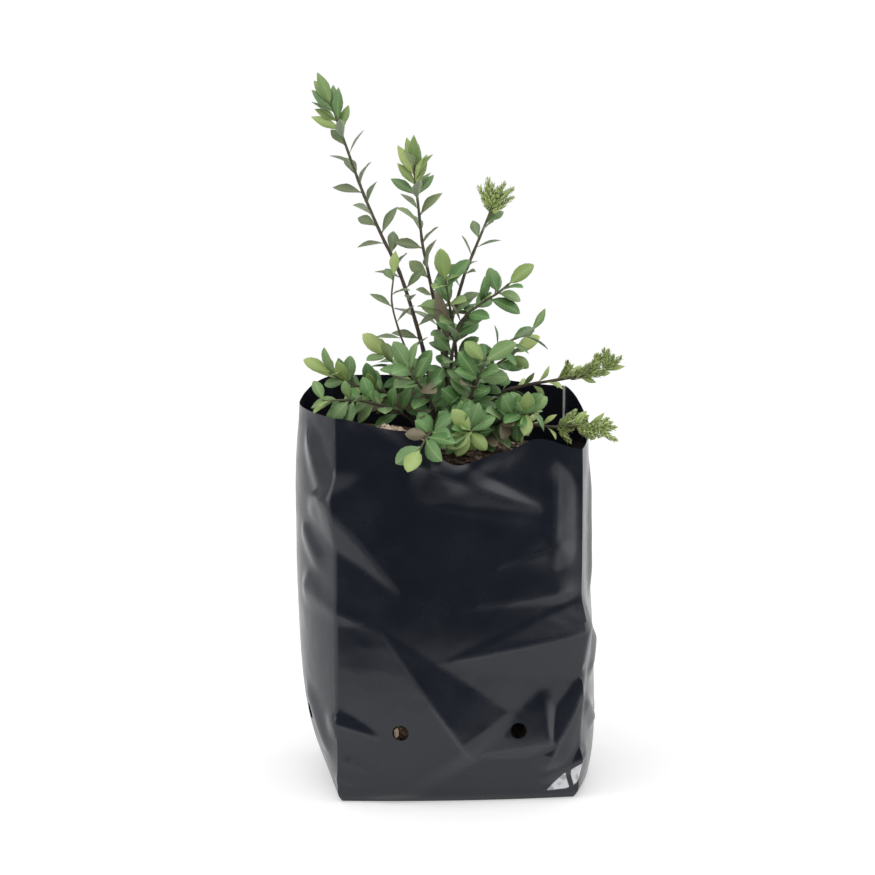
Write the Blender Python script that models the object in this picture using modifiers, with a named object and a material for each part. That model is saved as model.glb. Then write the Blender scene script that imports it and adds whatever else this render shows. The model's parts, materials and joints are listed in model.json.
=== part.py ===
"""A nursery polybag: a black gusseted film bag with drainage holes, full of potting mix, with a
clump of rooted stems growing in it.

Metres, +Z up, the bag's front towards -Y. The origin is the middle of the base, on the floor.
Heights and places of the plant are given in millimetres above and around the middle of the soil.
"""

import math
import random
from collections import namedtuple

import bmesh
import bpy
from mathutils import Vector
from mathutils.bvhtree import BVHTree

MM = 0.001

# The film bag
PANEL_WIDTH = 0.127  # front and back panels, from crease to crease
GUSSET_DEPTH = 0.096  # side panels, from crease to crease
BAG_HEIGHT = 0.214  # the highest point of the rim, at the back
FILM = 0.0002  # heavy nursery film, 200 micron
FRONT_BULGE = 0.008
BACK_BULGE = 0.009
LEFT_BULGE = 0.0205
RIGHT_BULGE = 0.007
RIGHT_POUCH = 0.0055  # the lower right side swells further
BASE_TUCK = 0.002  # how far the base edge is drawn in all round
BASE_RADIUS = 0.006  # height over which the walls turn into the base
LEFT_RISE = 0.03  # height over which the left side swells out of the tucked base
RIM_LIP = 0.0035  # the front of the rim rolls outwards
RIM_LIP_HEIGHT = 0.009

# How far the rim drops below BAG_HEIGHT, at places counted round the bag: 0 front left crease,
# 1 front right crease, 2 back right crease, 3 back left crease.
RIM_DROPS = [
    (0.0, 0.007),
    (0.27, 0.013),
    (0.49, 0.030),
    (0.67, 0.024),
    (0.82, 0.018),
    (1.0, 0.024),
    (1.5, 0.0165),
    (2.0, 0.008),
    (2.5, 0.002),
    (3.0, 0.001),
    (3.5, 0.007),
]

# Drainage holes, punched through the flat bag: one pair in each of the four panels
HOLE_DIAMETER = 0.0085
HOLE_HEIGHT = 0.041
HOLE_FROM_MIDDLE = 0.031  # from the middle of the front and back panels
HOLE_SIDES = 12
PUNCH_LENGTH = 0.03

# Wall mesh
PANEL_STEPS = (18, 8, 10, 8)
SOIL_STEPS = (9, 8, 5, 8)
ROW_HEIGHTS = (0.0, 0.012, 0.045, 0.1, 0.155, 0.22, 0.285, 0.35, 0.42, 0.49, 0.56, 0.64, 0.72, 0.8, 0.87, 0.94, 1.0)

# Potting mix
HEADSPACE = 0.029  # from the highest point of the rim down to the mix, at the bag's axis
SOIL_LEVEL = BAG_HEIGHT - HEADSPACE
SOIL_SLOPE_X = -0.12
SOIL_SLOPE_Y = -0.08
SOIL_FREEBOARD = 0.003  # the mix stays at least this far below the rim
HEAP_HEIGHT = 0.009  # a heap of mix against the left half of the front
HEAP_PLACE = (-0.036, -0.040)
HEAP_REACH = (0.024, 0.012)
SOIL_BUMP = 0.0012
SOIL_TOP_RINGS = (0.88, 0.66, 0.42, 0.2)
GAP = 0.0004  # clearance between pieces that touch
ROOT_DEPTH = 0.014  # how deep each stem goes into the mix
PEG_STUB = 0.003  # how far each stem rises straight before it leans
PEG_SIDES = 8

# Leaves
LEAF_THICKNESS = 0.0006
LEAF_SECTIONS = ((0.62, 1.0), (1.0, 0.24))  # share of length, share of width
LEAF_CHANNEL = 0.13  # how far the edges rise above the midrib, as a share of width
LEAF_BAND = 0.0013  # length of stem that a leaf grows from
LEAF_MARGIN = 0.0004  # leaves stay this clear of everything
OWN_STEM_SHARE = 0.22  # past this share of its length, a leaf also stays clear of its own stem
LEAF_TRIES = 7
TIP_CROWDING = 1.3  # above 1, the leaves stand closer together towards the tip
LIGHT_WAY = (-0.15, -0.75, 0.62)  # the leaves turn their faces this way
STEM_STEP = 0.014  # longest stretch of stem without a ring

Fold = namedtuple("Fold", "q0 z0 q1 z1 rise left right")
Leaves = namedtuple("Leaves", "start count length width pitch tip_pitch turn first light")
Shoot = namedtuple("Shoot", "name root route thick thin leaves")

# Creases that stand out from the film, in millimetres: where each crest starts and ends (q is the
# distance round the bag from the front left crease, z the height), how far it stands out, and how
# wide its slope is to the left and to the right of the way it runs.
FRONT_FOLDS = [
    Fold(113, 192, 113, 118, 2.6, 13, 8),
    Fold(36, 164, 112, 149, 1.0, 12, 20),
    Fold(100, 8, 142, 29, 3.2, 8, 5),
]
RIGHT_FOLDS = [
    Fold(127, 58, 154, 32, 2.8, 8, 8),
    Fold(131, 64, 168, 86, 3.0, 9, 12),
    Fold(156, 190, 146, 96, 2.4, 9, 9),
    Fold(192, 150, 218, 104, 2.6, 10, 12),
]
BACK_FOLDS = [
    Fold(240, 188, 322, 158, 3.6, 12, 8),
    Fold(230, 128, 294, 112, 3.0, 14, 7),
    Fold(344, 140, 288, 84, 3.6, 10, 18),
    Fold(232, 78, 298, 50, 3.4, 16, 8),
    Fold(344, 58, 304, 22, 3.0, 9, 12),
    Fold(244, 30, 276, 12, 1.8, 6, 6),
]
LEFT_FOLDS = [
    Fold(421, 204, 446, 156, 2.8, 9, 10),
    Fold(416, 150, 441, 122, 2.2, 8, 9),
    Fold(412, 64, 442, 18, 2.4, 10, 9),
    Fold(362, 176, 386, 96, 3.0, 11, 13),
    Fold(358, 74, 394, 40, 2.6, 10, 10),
]

# Wedges: flat facets of the film that run out to a sharp tip. Each starts at its tip (q0, z0) and is
# highest and widest at (q1, z1), mostly at a corner of the bag.
WEDGES = [
    Fold(119, 154, 50, 180, 4.3, 22, 14),
    Fold(37, 110, -4, 163, 5.6, 20, 26),
    Fold(24, 95, -21, 113, 3.0, 13, 15),
    Fold(18, 101, 64, 34, 7.8, 32, 66),
    Fold(73, 126, 115, 140, 2.6, 12, 15),
    Fold(50, 107, 115, 115, 1.9, 14, 7),
    Fold(50, 78, 129, 94, 5.6, 19, 31),
    Fold(58, 25, 110, 33, 6.0, 32, 9),
    Fold(53, 26, -1, 44, 2.8, 12, 9),
    Fold(28, 10, 5, 22, 1.6, 5, 8),
    Fold(22, 4, 0, 13, 1.4, 5, 7),
    Fold(48, 186, 12, 206, 2.2, 9, 9),
    Fold(137, 86, 113, 25, 6.5, 12, 14),
]
WEDGE_FADE = 0.22  # past its wide end a wedge dies out over this share of its length

# The clump. Each stem is rooted at root (x, y) and follows its route: x, y and height above the soil
# at the bag's axis, in millimetres. turn is the angle from one leaf to the next round the stem.
SHOOTS = [
    Shoot("stem_tall_left", (-9, 4),
          [(-15, 5, 44), (-27, 6, 86), (-38, 7, 110), (-47, 8, 131), (-56, 9, 156), (-64, 10, 180)], 2.4, 1.2,
          Leaves(0.28, 25, 16.0, 6.2, 62, 28, 137, 190, 0.45)),
    Shoot("stem_thin_left", (-16, -5),
          [(-22, -6, 40), (-29, -7, 60), (-33, -7, 76), (-32, -6, 90)], 1.3, 0.9,
          Leaves(0.5, 6, 13.0, 5.4, 66, 50, 165, 20, 0.3)),
    Shoot("stem_middle", (-2, 8),
          [(-6, 10, 50), (-12, 11, 84), (-16, 11, 104), (-18, 11, 122), (-21, 11, 148)], 2.2, 1.2,
          Leaves(0.4, 21, 16.5, 6.4, 60, 28, 137, 160, 0.45)),
    Shoot("stem_right", (-4, -1),
          [(-4, -1, 50), (4, 1, 84), (10, 2, 100), (21, 3, 126)], 2.6, 1.2,
          Leaves(0.42, 14, 13.0, 5.4, 64, 30, 137, 330, 0.45)),
    Shoot("stem_right_low", (3, -6),
          [(-2, -8, 42), (4, -9, 66), (13, -10, 75), (22, -11, 81), (28, -12, 86)], 2.2, 1.2,
          Leaves(0.36, 13, 16.5, 8.4, 60, 36, 137, 200, 0.6)),
    Shoot("stem_arching_right", (8, -11),
          [(10, -14, 36), (16, -15, 48), (25, -16, 55), (34, -17, 59), (41, -17, 62)], 1.8, 0.9,
          Leaves(0.34, 12, 14.5, 4.6, 62, 30, 137, 90, 0.35)),
    Shoot("runner_left", (-19, 3),
          [(-27, 1, 21), (-39, -2, 28), (-50, -5, 31), (-59, -7, 35), (-66, -8, 39)], 1.8, 1.0,
          Leaves(0.28, 15, 15.5, 7.4, 58, 30, 137, 30, 0.6)),
    Shoot("runner_left_low", (-19, -11),
          [(-26, -17, 17), (-39, -23, 24), (-51, -28, 28), (-62, -32, 29), (-70, -33, 29)], 1.8, 1.0,
          Leaves(0.24, 15, 15.5, 7.8, 58, 34, 137, 80, 0.7)),
    Shoot("stem_back_left", (-12, 14),
          [(-19, 15, 22), (-28, 16, 36), (-36, 16, 44)], 1.8, 1.1,
          Leaves(0.3, 8, 16.5, 8.6, 56, 32, 137, 200, 0.6)),
    Shoot("stem_front_left", (-9, -17),
          [(-13, -20, 24), (-20, -24, 36), (-25, -27, 45)], 1.8, 1.1,
          Leaves(0.26, 11, 17.0, 9.0, 62, 36, 137, 120, 0.7)),
    Shoot("stem_front_right", (2, -19),
          [(6, -22, 24), (11, -26, 38), (15, -28, 50)], 1.8, 1.1,
          Leaves(0.26, 11, 17.0, 9.0, 62, 34, 137, 60, 0.7)),
    Shoot("stem_front", (-4, -25),
          [(-3, -29, 9), (2, -36, 13), (7, -43, 14)], 1.6, 1.0,
          Leaves(0.26, 9, 16.0, 8.6, 60, 34, 137, 20, 0.7)),
    Shoot("stem_centre", (3, 3),
          [(2, 1, 34), (0, -3, 58), (-3, -6, 76), (-5, -8, 88)], 2.0, 1.1,
          Leaves(0.3, 13, 17.0, 8.8, 58, 32, 137, 300, 0.6)),
    Shoot("stem_right_front", (11, -19),
          [(18, -25, 13), (29, -30, 19), (40, -34, 22)], 1.8, 1.1,
          Leaves(0.24, 12, 16.5, 8.6, 60, 34, 137, 158, 0.7)),
    Shoot("stem_right_back", (9, 8),
          [(13, 9, 24), (22, 9, 38), (33, 8, 46)], 1.8, 1.1,
          Leaves(0.26, 10, 16.0, 8.2, 60, 34, 137, 240, 0.6)),
    Shoot("runner_right", (13, 15),
          [(23, 17, 20), (38, 18, 26), (54, 17, 29), (70, 15, 32), (82, 13, 35)], 2.2, 1.2,
          Leaves(0.34, 18, 11.0, 3.6, 50, 24, 137, 180, 0.5)),
    Shoot("runner_right_low", (14, -5),
          [(24, -10, 11), (40, -19, 12), (54, -25, 12), (66, -29, 13), (74, -31, 12)], 2.0, 1.1,
          Leaves(0.3, 17, 11.0, 3.6, 50, 24, 137, 180, 0.6)),
    Shoot("runner_front", (-12, -25),
          [(-12, -33, 9), (-14, -43, 14), (-17, -52, 13), (-21, -59, 8)], 1.5, 1.0,
          Leaves(0.56, 4, 15.5, 9.0, 56, 26, 180, 0, 0.6)),
]

MATERIALS = {
    "black_film": ((0.012, 0.012, 0.015), 0.3),
    "potting_mix": ((0.07, 0.045, 0.03), 0.95),
    "leafy_stem": ((0.16, 0.27, 0.09), 0.55),
}


def clamp(value, low=0.0, high=1.0):
    return max(low, min(high, value))


def smooth(value):
    value = clamp(value)
    return value * value * (3 - 2 * value)


def between(keys, place, period):
    """Smooth value at place of a closed list of (place, value)."""
    for (p0, v0), (p1, v1) in zip(keys, keys[1:] + [(keys[0][0] + period, keys[0][1])]):
        if p0 <= place <= p1:
            return v0 + (v1 - v0) * smooth((place - p0) / (p1 - p0))
    return keys[0][1]


# The shape of the bag. A place on the wall is (p, z): p counts the panels round the bag, as in
# RIM_DROPS, and z is the height.
def rim_height(p):
    return BAG_HEIGHT - between(RIM_DROPS, p % 4, 4)


def tuck(z):
    """How far the wall is drawn in near the base."""
    return BASE_TUCK * (1 - clamp(z / BASE_RADIUS)) ** 2


def half_depth(z):
    return GUSSET_DEPTH / 2 * (0.92 + 0.1 * math.sin(math.pi * clamp(z / BAG_HEIGHT * 0.9 + 0.12)))


def left_bulge(z):
    return LEFT_BULGE * (1 - math.exp(-z / LEFT_RISE)) * (1 - 0.14 * smooth(z / BAG_HEIGHT * 4 - 3))


def right_bulge(z):
    pouch = RIGHT_POUCH * math.exp(-(((z - 0.18 * BAG_HEIGHT) / (0.35 * BAG_HEIGHT)) ** 2))
    return (RIGHT_BULGE + pouch) * (1 - 0.4 * math.exp(-z / 0.008))


def end_bulge(z, most):
    """Bulge of the front or back panel, which eases towards the base and the rim."""
    return most * (0.25 + 0.75 * math.sin(math.pi * clamp(z / BAG_HEIGHT * 0.93 + 0.04)))


def plain_wall(p, z, inset=0.0):
    """A point of the wall without its creases, and the way out of the bag there."""
    panel, s = int(p % 4), p % 1.0
    arc = 4 * s * (1 - s)
    across = PANEL_WIDTH / 2 - tuck(z) - inset
    deep = half_depth(z) - tuck(z) - inset
    outward = (Vector((0, -1, 0)), Vector((1, 0, 0)), Vector((0, 1, 0)), Vector((-1, 0, 0)))
    if panel == 0:
        point = Vector((across * (2 * s - 1), -deep - end_bulge(z, FRONT_BULGE) * arc, z))
    elif panel == 1:
        point = Vector((across + right_bulge(z) * arc, deep * (2 * s - 1), z))
    elif panel == 2:
        point = Vector((across * (1 - 2 * s), deep + end_bulge(z, BACK_BULGE) * arc, z))
    else:
        point = Vector((-across - left_bulge(z) * arc, deep * (1 - 2 * s), z))
    turn_zone = 0.08
    way = outward[panel].copy()
    if s < turn_zone:
        way += outward[panel - 1] * (1 - s / turn_zone)
    if s > 1 - turn_zone:
        way += outward[(panel + 1) % 4] * (1 - (1 - s) / turn_zone)
    return point, way.normalized()


def distance_round(p):
    """Millimetres round the bag from the front left crease."""
    widths = (PANEL_WIDTH, GUSSET_DEPTH, PANEL_WIDTH, GUSSET_DEPTH)
    panel, s = int(p % 4), p % 1.0
    return (sum(widths[:panel]) + widths[panel] * s) / MM


def along_and_beside(fold, q, z):
    """How far (q, z) lies along a crest, from 0 to 1, and how many millimetres to its left."""
    along_q, along_z = fold.q1 - fold.q0, fold.z1 - fold.z0
    length = math.hypot(along_q, along_z)
    t = ((q - fold.q0) * along_q + (z - fold.z0) * along_z) / length**2
    return t, ((z - fold.z0) * along_q - (q - fold.q0) * along_z) / length


def fold_rise(fold, q, z):
    """How far one crease lifts the film at (q, z), in millimetres."""
    t, side = along_and_beside(fold, q, z)
    fade = smooth(min(t, 1 - t) / 0.3) if 0 < t < 1 else 0.0
    width = (fold.left if side > 0 else fold.right) * (0.35 + 0.65 * fade)
    return fold.rise * fade * max(0.0, 1 - abs(side) / width)


def wedge_rise(wedge, q, z):
    """As fold_rise, for a wedge."""
    t, side = along_and_beside(wedge, q, z)
    width = wedge.left if side > 0 else wedge.right
    ending = smooth((1 + WEDGE_FADE - t) / WEDGE_FADE)
    return wedge.rise * ending * max(0.0, min(t, 1.0) - abs(side) / width)


def crease_rise(p, z):
    """How far all the creases lift the film at (p, z), in metres."""
    once_round = 2 * (PANEL_WIDTH + GUSSET_DEPTH) / MM
    q, height = distance_round(p), z / MM
    rises = []
    for shift in (0, -once_round):
        rises += [fold_rise(f, q + shift, height) for f in FRONT_FOLDS + RIGHT_FOLDS + BACK_FOLDS + LEFT_FOLDS]
        rises += [wedge_rise(w, q + shift, height) for w in WEDGES]
    return max(rises) * MM * smooth(z / BASE_RADIUS)


def rim_roll(p, z):
    """The front of the rim leans out over the wall."""
    spread = (p % 4 - 0.56) / 0.17
    drop = (rim_height(p) - z) / RIM_LIP_HEIGHT
    return RIM_LIP * math.exp(-spread * spread - drop * drop)


def wall(p, z):
    point, way = plain_wall(p, z)
    return point + way * (crease_rise(p, z) + rim_roll(p, z))


def soil_height(x, y):
    off_x, off_y = (x - HEAP_PLACE[0]) / HEAP_REACH[0], (y - HEAP_PLACE[1]) / HEAP_REACH[1]
    heap = HEAP_HEIGHT * math.exp(-off_x * off_x - off_y * off_y)
    return SOIL_LEVEL + SOIL_SLOPE_X * x + SOIL_SLOPE_Y * y + heap


def places_round(steps):
    """Values of p, one for each mesh vertex round the bag."""
    return [panel + i / n for panel, n in enumerate(steps) for i in range(n)]


def object_of(name, mesh, collection, material=None):
    obj = bpy.data.objects.new(name, mesh)
    collection.objects.link(obj)
    if material:
        obj.data.materials.append(material)
    return obj


def mesh_from_rings(name, rings, cap_start=True, cap_end=True):
    """A skin over rings of equally many points, faces outwards when the rings rise anticlockwise."""
    mesh = bpy.data.meshes.new(name)
    bm = bmesh.new()
    verts = [[bm.verts.new(point) for point in ring] for ring in rings]
    count = len(verts[0])
    for low, high in zip(verts, verts[1:]):
        for i in range(count):
            j = (i + 1) % count
            bm.faces.new((low[i], low[j], high[j], high[i]))
    if cap_start:
        bm.faces.new(list(reversed(verts[0])))
    if cap_end:
        bm.faces.new(verts[-1])
    bm.to_mesh(mesh)
    bm.free()
    return mesh


def punch(name, place, along_x, cutters):
    """A cylinder that punches one drainage hole."""
    size = (HOLE_DIAMETER / 2, HOLE_DIAMETER / 2, PUNCH_LENGTH)
    bpy.ops.mesh.primitive_cylinder_add(vertices=HOLE_SIDES, radius=size[0], depth=size[2], location=place)
    cutter = bpy.context.active_object
    cutter.name = name
    cutter.rotation_euler = (0, math.pi / 2, 0) if along_x else (math.pi / 2, 0, 0)
    hide_helper(cutter, cutters)
    return cutter


def hide_helper(obj, cutters):
    for owner in list(obj.users_collection):
        owner.objects.unlink(obj)
    cutters.objects.link(obj)
    obj.hide_render = True
    obj.display_type = "WIRE"


def make_bag(parts, cutters, material):
    """The film: one open-topped skin with a flat base, given its thickness inwards, then punched."""
    around = places_round(PANEL_STEPS)
    rings = [[wall(p, t * rim_height(p)) for p in around] for t in ROW_HEIGHTS]
    bag = object_of("film_bag", mesh_from_rings("film_bag", rings, cap_end=False), parts, material)
    skin = bag.modifiers.new("film", "SOLIDIFY")
    skin.thickness = FILM
    skin.offset = -1
    skin.use_even_offset = True
    flat_gap = GUSSET_DEPTH / 2 - (PANEL_WIDTH / 2 - HOLE_FROM_MIDDLE)
    spots = []
    for side in (-1, 1):
        spots.append((side * HOLE_FROM_MIDDLE, -half_depth(HOLE_HEIGHT) - FRONT_BULGE / 2, False))
        spots.append((side * HOLE_FROM_MIDDLE, half_depth(HOLE_HEIGHT) + BACK_BULGE / 2, False))
        spots.append((PANEL_WIDTH / 2 + RIGHT_BULGE, side * flat_gap, True))
        spots.append((-PANEL_WIDTH / 2 - LEFT_BULGE / 2, side * flat_gap, True))
    for number, (x, y, along_x) in enumerate(spots):
        cut = bag.modifiers.new(f"hole_{number}", "BOOLEAN")
        cut.operation = "DIFFERENCE"
        cut.object = punch(f"punch_{number}", (x, y, HOLE_HEIGHT), along_x, cutters)
    return bag


def make_soil(parts, cutters, material):
    """The block of potting mix: the wall's plain shape just inside the film, with a rough top and a
    hole for each rooted stem."""
    inset = FILM + GAP
    around = places_round(SOIL_STEPS)
    edge = {p: rim_height(p) - SOIL_FREEBOARD for p in around}
    for p in around:
        point, _ = plain_wall(p, edge[p])
        edge[p] = min(edge[p], soil_height(point.x, point.y) - SOIL_FREEBOARD / 2)
    rows = [t for t in ROW_HEIGHTS if 0 < t * BAG_HEIGHT < SOIL_LEVEL - 0.03]
    rings = [[plain_wall(p, 0, inset)[0] + Vector((0, 0, inset)) for p in around]]
    for t in rows:
        rings.append([plain_wall(p, max(t * rim_height(p), 2 * inset), inset)[0] for p in around])
    rings.append([plain_wall(p, edge[p], inset)[0] for p in around])
    for share in SOIL_TOP_RINGS:
        ring = []
        for i, p in enumerate(around):
            rim_point = rings[len(rows) + 1][i]
            x, y = rim_point.x * share, rim_point.y * share
            level = soil_height(x, y) + SOIL_BUMP * math.sin(5 * i + 9 * share)
            height = rim_point.z + (level - rim_point.z) * smooth((1 - share) / 0.3)
            ring.append(Vector((x, y, height)))
        rings.append(ring)
    soil = object_of("potting_mix", mesh_from_rings("potting_mix", rings), parts, material)
    holes = bpy.data.collections.new("root_holes")
    cutters.children.link(holes)
    for shoot in SHOOTS:
        x, y = (v * MM for v in shoot.root)
        low = soil_height(x, y) - ROOT_DEPTH - GAP
        radius = shoot.thick * MM / 2 * math.sqrt(2) / math.cos(math.pi / PEG_SIDES) + GAP
        depth = ROOT_DEPTH + 6 * SOIL_BUMP
        bpy.ops.mesh.primitive_cylinder_add(
            vertices=PEG_SIDES, radius=radius, depth=depth, location=(x, y, low + depth / 2)
        )
        cutter = bpy.context.active_object
        cutter.name = "hole_" + shoot.name
        hide_helper(cutter, holes)
    cut = soil.modifiers.new("root_holes", "BOOLEAN")
    cut.operation = "DIFFERENCE"
    cut.operand_type = "COLLECTION"
    cut.collection = holes
    return soil


# The stems
def stem_route(shoot):
    """Points of a stem's middle line: straight up out of the mix, then along its route."""
    x, y = (v * MM for v in shoot.root)
    ground = soil_height(x, y)
    points = [Vector((x, y, ground + PEG_STUB))]
    points += [Vector((a * MM, b * MM, SOIL_LEVEL + c * MM)) for a, b, c in shoot.route]
    return points


def curve_point(points, place):
    """Catmull-Rom curve through the points; place runs from 0 to 1."""
    last = len(points) - 1
    i = min(int(place * last), last - 1)
    t = place * last - i
    before = points[i - 1] if i else points[0] - Vector((0, 0, (points[1] - points[0]).length))
    after = points[i + 2] if i + 2 <= last else 2 * points[last] - points[last - 1]
    a, b = points[i], points[i + 1]
    return 0.5 * (2 * a + (b - before) * t + (2 * before - 5 * a + 4 * b - after) * t * t
                  + (3 * a - before - 3 * b + after) * t**3)


class Stem:
    """A stem's middle line, measured along its length, with a frame that turns with it."""

    def __init__(self, shoot):
        self.shoot = shoot
        route = stem_route(shoot)
        steps = 24 * (len(route) - 1)
        self.points = [curve_point(route, i / steps) for i in range(steps + 1)]
        self.lengths = [0.0]
        for a, b in zip(self.points, self.points[1:]):
            self.lengths.append(self.lengths[-1] + (b - a).length)
        self.length = self.lengths[-1]
        self.ways, self.sides = [Vector((0, 0, 1))], [Vector((1, 0, 0))]
        for a, b in zip(self.points, self.points[1:]):
            way = (b - a).normalized()
            self.sides.append(self.ways[-1].rotation_difference(way) @ self.sides[-1])
            self.ways.append(way)

    def at(self, distance):
        """Point, direction, side and back vectors, and radius at a distance along the stem."""
        distance = clamp(distance, 0, self.length)
        i = 0
        while i < len(self.lengths) - 2 and self.lengths[i + 1] < distance:
            i += 1
        t = (distance - self.lengths[i]) / (self.lengths[i + 1] - self.lengths[i])
        point = self.points[i].lerp(self.points[i + 1], t)
        way = self.ways[i].lerp(self.ways[i + 1], t).normalized()
        side = self.sides[i].lerp(self.sides[i + 1], t)
        side = (side - way * side.dot(way)).normalized()
        radius = (self.shoot.thick + (self.shoot.thin - self.shoot.thick) * distance / self.length) / 2
        return point, way, side, way.cross(side), radius * MM


def leaf_sections(base, way, normal, length, width, bend, margin=0.0):
    """The leaf's cross-sections after its base, each four points: left edge, keel, right edge, rib."""
    side = normal.cross(way)
    sections = []
    for share, wide in LEAF_SECTIONS:
        angle = bend * share
        middle = base + way * (length * share * math.cos(angle / 2)) - normal * (
            length * share * math.sin(angle / 2)
        )
        up = normal * math.cos(angle) + way * math.sin(angle)
        half = width * wide / 2 + margin
        thick = LEAF_THICKNESS / 2 * (0.5 + 0.5 * wide) + margin
        edge = up * (LEAF_CHANNEL * width * wide)
        sections.append([middle - side * half + edge, middle - up * thick,
                         middle + side * half + edge, middle + up * thick])
    return sections


def leaf_try(stem, spec, index, attempt):
    """Where and how one leaf grows. Each attempt turns, tilts and shortens it a little more."""
    draw = random.Random(1000 * len(stem.shoot.name) + 37 * index + int(spec.first))
    share = index / spec.count
    spread = draw.uniform(-0.3, 0.3)
    crowded = 1 - (1 - share) ** TIP_CROWDING
    along = crowded + spread / spec.count * (index > 0)
    distance = stem.length * (spec.start + (1 - spec.start) * along)
    point, way, across, back, radius = stem.at(distance)
    shift = (0, 32, -32, 64, -64, 100, -100)[attempt]
    azimuth = math.radians(spec.first + spec.turn * index + draw.uniform(-16, 16) + shift)
    pitch = spec.pitch + (spec.tip_pitch - spec.pitch) * share**1.5 + draw.uniform(-9, 9)
    pitch = math.radians(pitch)
    scale = (1 - 0.06 * attempt) * draw.uniform(0.82, 1.12)
    outward = across * math.cos(azimuth) + back * math.sin(azimuth)
    leaf_way = way * math.cos(pitch) + outward * math.sin(pitch)
    stem_side = (way - leaf_way * way.dot(leaf_way)).normalized()
    light = Vector(LIGHT_WAY)
    light = (light - leaf_way * light.dot(leaf_way)).normalized()
    normal = (stem_side * (1 - spec.light) + light * spec.light).normalized()
    twist = math.radians(draw.uniform(-38, 38))
    normal = normal * math.cos(twist) + normal.cross(leaf_way) * math.sin(twist)
    bend = math.radians(draw.uniform(4, 30))
    base = point + outward * radius
    return distance, azimuth, (base, leaf_way, normal, spec.length * MM * scale,
                               spec.width * MM * scale, bend)


def sections_tree(sections):
    """A search tree of a run of cross-sections, closed at both ends."""
    points = [point for section in sections for point in section]
    faces = [(3, 2, 1, 0), tuple(range(len(points) - 4, len(points)))]
    for n in range(len(sections) - 1):
        for i in range(4):
            j = (i + 1) % 4
            faces.append((4 * n + i, 4 * n + j, 4 * n + 4 + j, 4 * n + 4 + i))
    return BVHTree.FromPolygons(points, faces)


def leaf_tree(leaf, start):
    """A search tree of a leaf with a margin round it, from a share of its length onwards."""
    base, way, normal, length = leaf[:4]
    near = base + way * (start * length)
    side = normal.cross(way) * LEAF_BAND
    up = normal * LEAF_BAND / 2
    return sections_tree([[near - side, near - up, near + side, near + up]]
                         + leaf_sections(*leaf, margin=LEAF_MARGIN))


def stem_tree(stem):
    """A search tree of the bare stem with a margin round it."""
    sections = []
    for n in range(0, len(stem.points), 6):
        point, way, across, back, radius = stem.at(stem.lengths[n])
        reach = radius * math.sqrt(2) + LEAF_MARGIN
        sections.append([point + (across * math.cos(a) + back * math.sin(a)) * reach
                         for a in (math.pi * k / 2 for k in range(4))])
    return sections_tree(sections)


def object_tree(obj):
    obj_eval = obj.evaluated_get(bpy.context.evaluated_depsgraph_get())
    mesh = obj_eval.to_mesh()
    tree = BVHTree.FromPolygons([v.co.copy() for v in mesh.vertices],
                                [tuple(face.vertices) for face in mesh.polygons])
    obj_eval.to_mesh_clear()
    return tree


def grow_leaves(stems, obstacles):
    """Places every leaf clear of the film, the mix, the stems and the leaves before it."""
    stem_trees = {stem.shoot.name: stem_tree(stem) for stem in stems}
    taken, grown = list(obstacles), {}
    for stem in stems:
        spec = stem.shoot.leaves
        kept = []
        for index in range(spec.count + 1):
            for attempt in range(LEAF_TRIES):
                if index == spec.count:
                    distance, azimuth, leaf = tip_leaf(stem, spec, attempt)
                else:
                    distance, azimuth, leaf = leaf_try(stem, spec, index, attempt)
                whole = leaf_tree(leaf, 0.0)
                free_part = leaf_tree(leaf, OWN_STEM_SHARE)
                others = [t for name, t in stem_trees.items() if name != stem.shoot.name]
                own = stem_trees[stem.shoot.name]
                if index < spec.count and free_part.overlap(own):
                    continue
                if not any(whole.overlap(other) for other in taken + others):
                    taken.append(whole)
                    kept.append((distance, azimuth, leaf))
                    break
        grown[stem.shoot.name] = kept
    return grown


def tip_leaf(stem, spec, attempt):
    """The leaf that ends the stem."""
    point, way, across, back, radius = stem.at(stem.length)
    light = Vector(LIGHT_WAY)
    angle = math.atan2(light.dot(back), light.dot(across)) + math.radians(30 * attempt)
    normal = across * math.cos(angle) + back * math.sin(angle)
    scale = 1.0 - 0.07 * attempt
    leaf = (point, way, normal, spec.length * MM * scale, spec.width * MM * scale, math.radians(8))
    return stem.length, angle, leaf


def turned_to(twist, azimuth):
    """The square stem's turn, changed by 45 degrees at most so that one side faces the azimuth."""
    quarter = math.pi / 2
    turned = (azimuth - twist) % quarter
    return twist + (turned if turned < quarter / 2 else turned - quarter)


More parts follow.
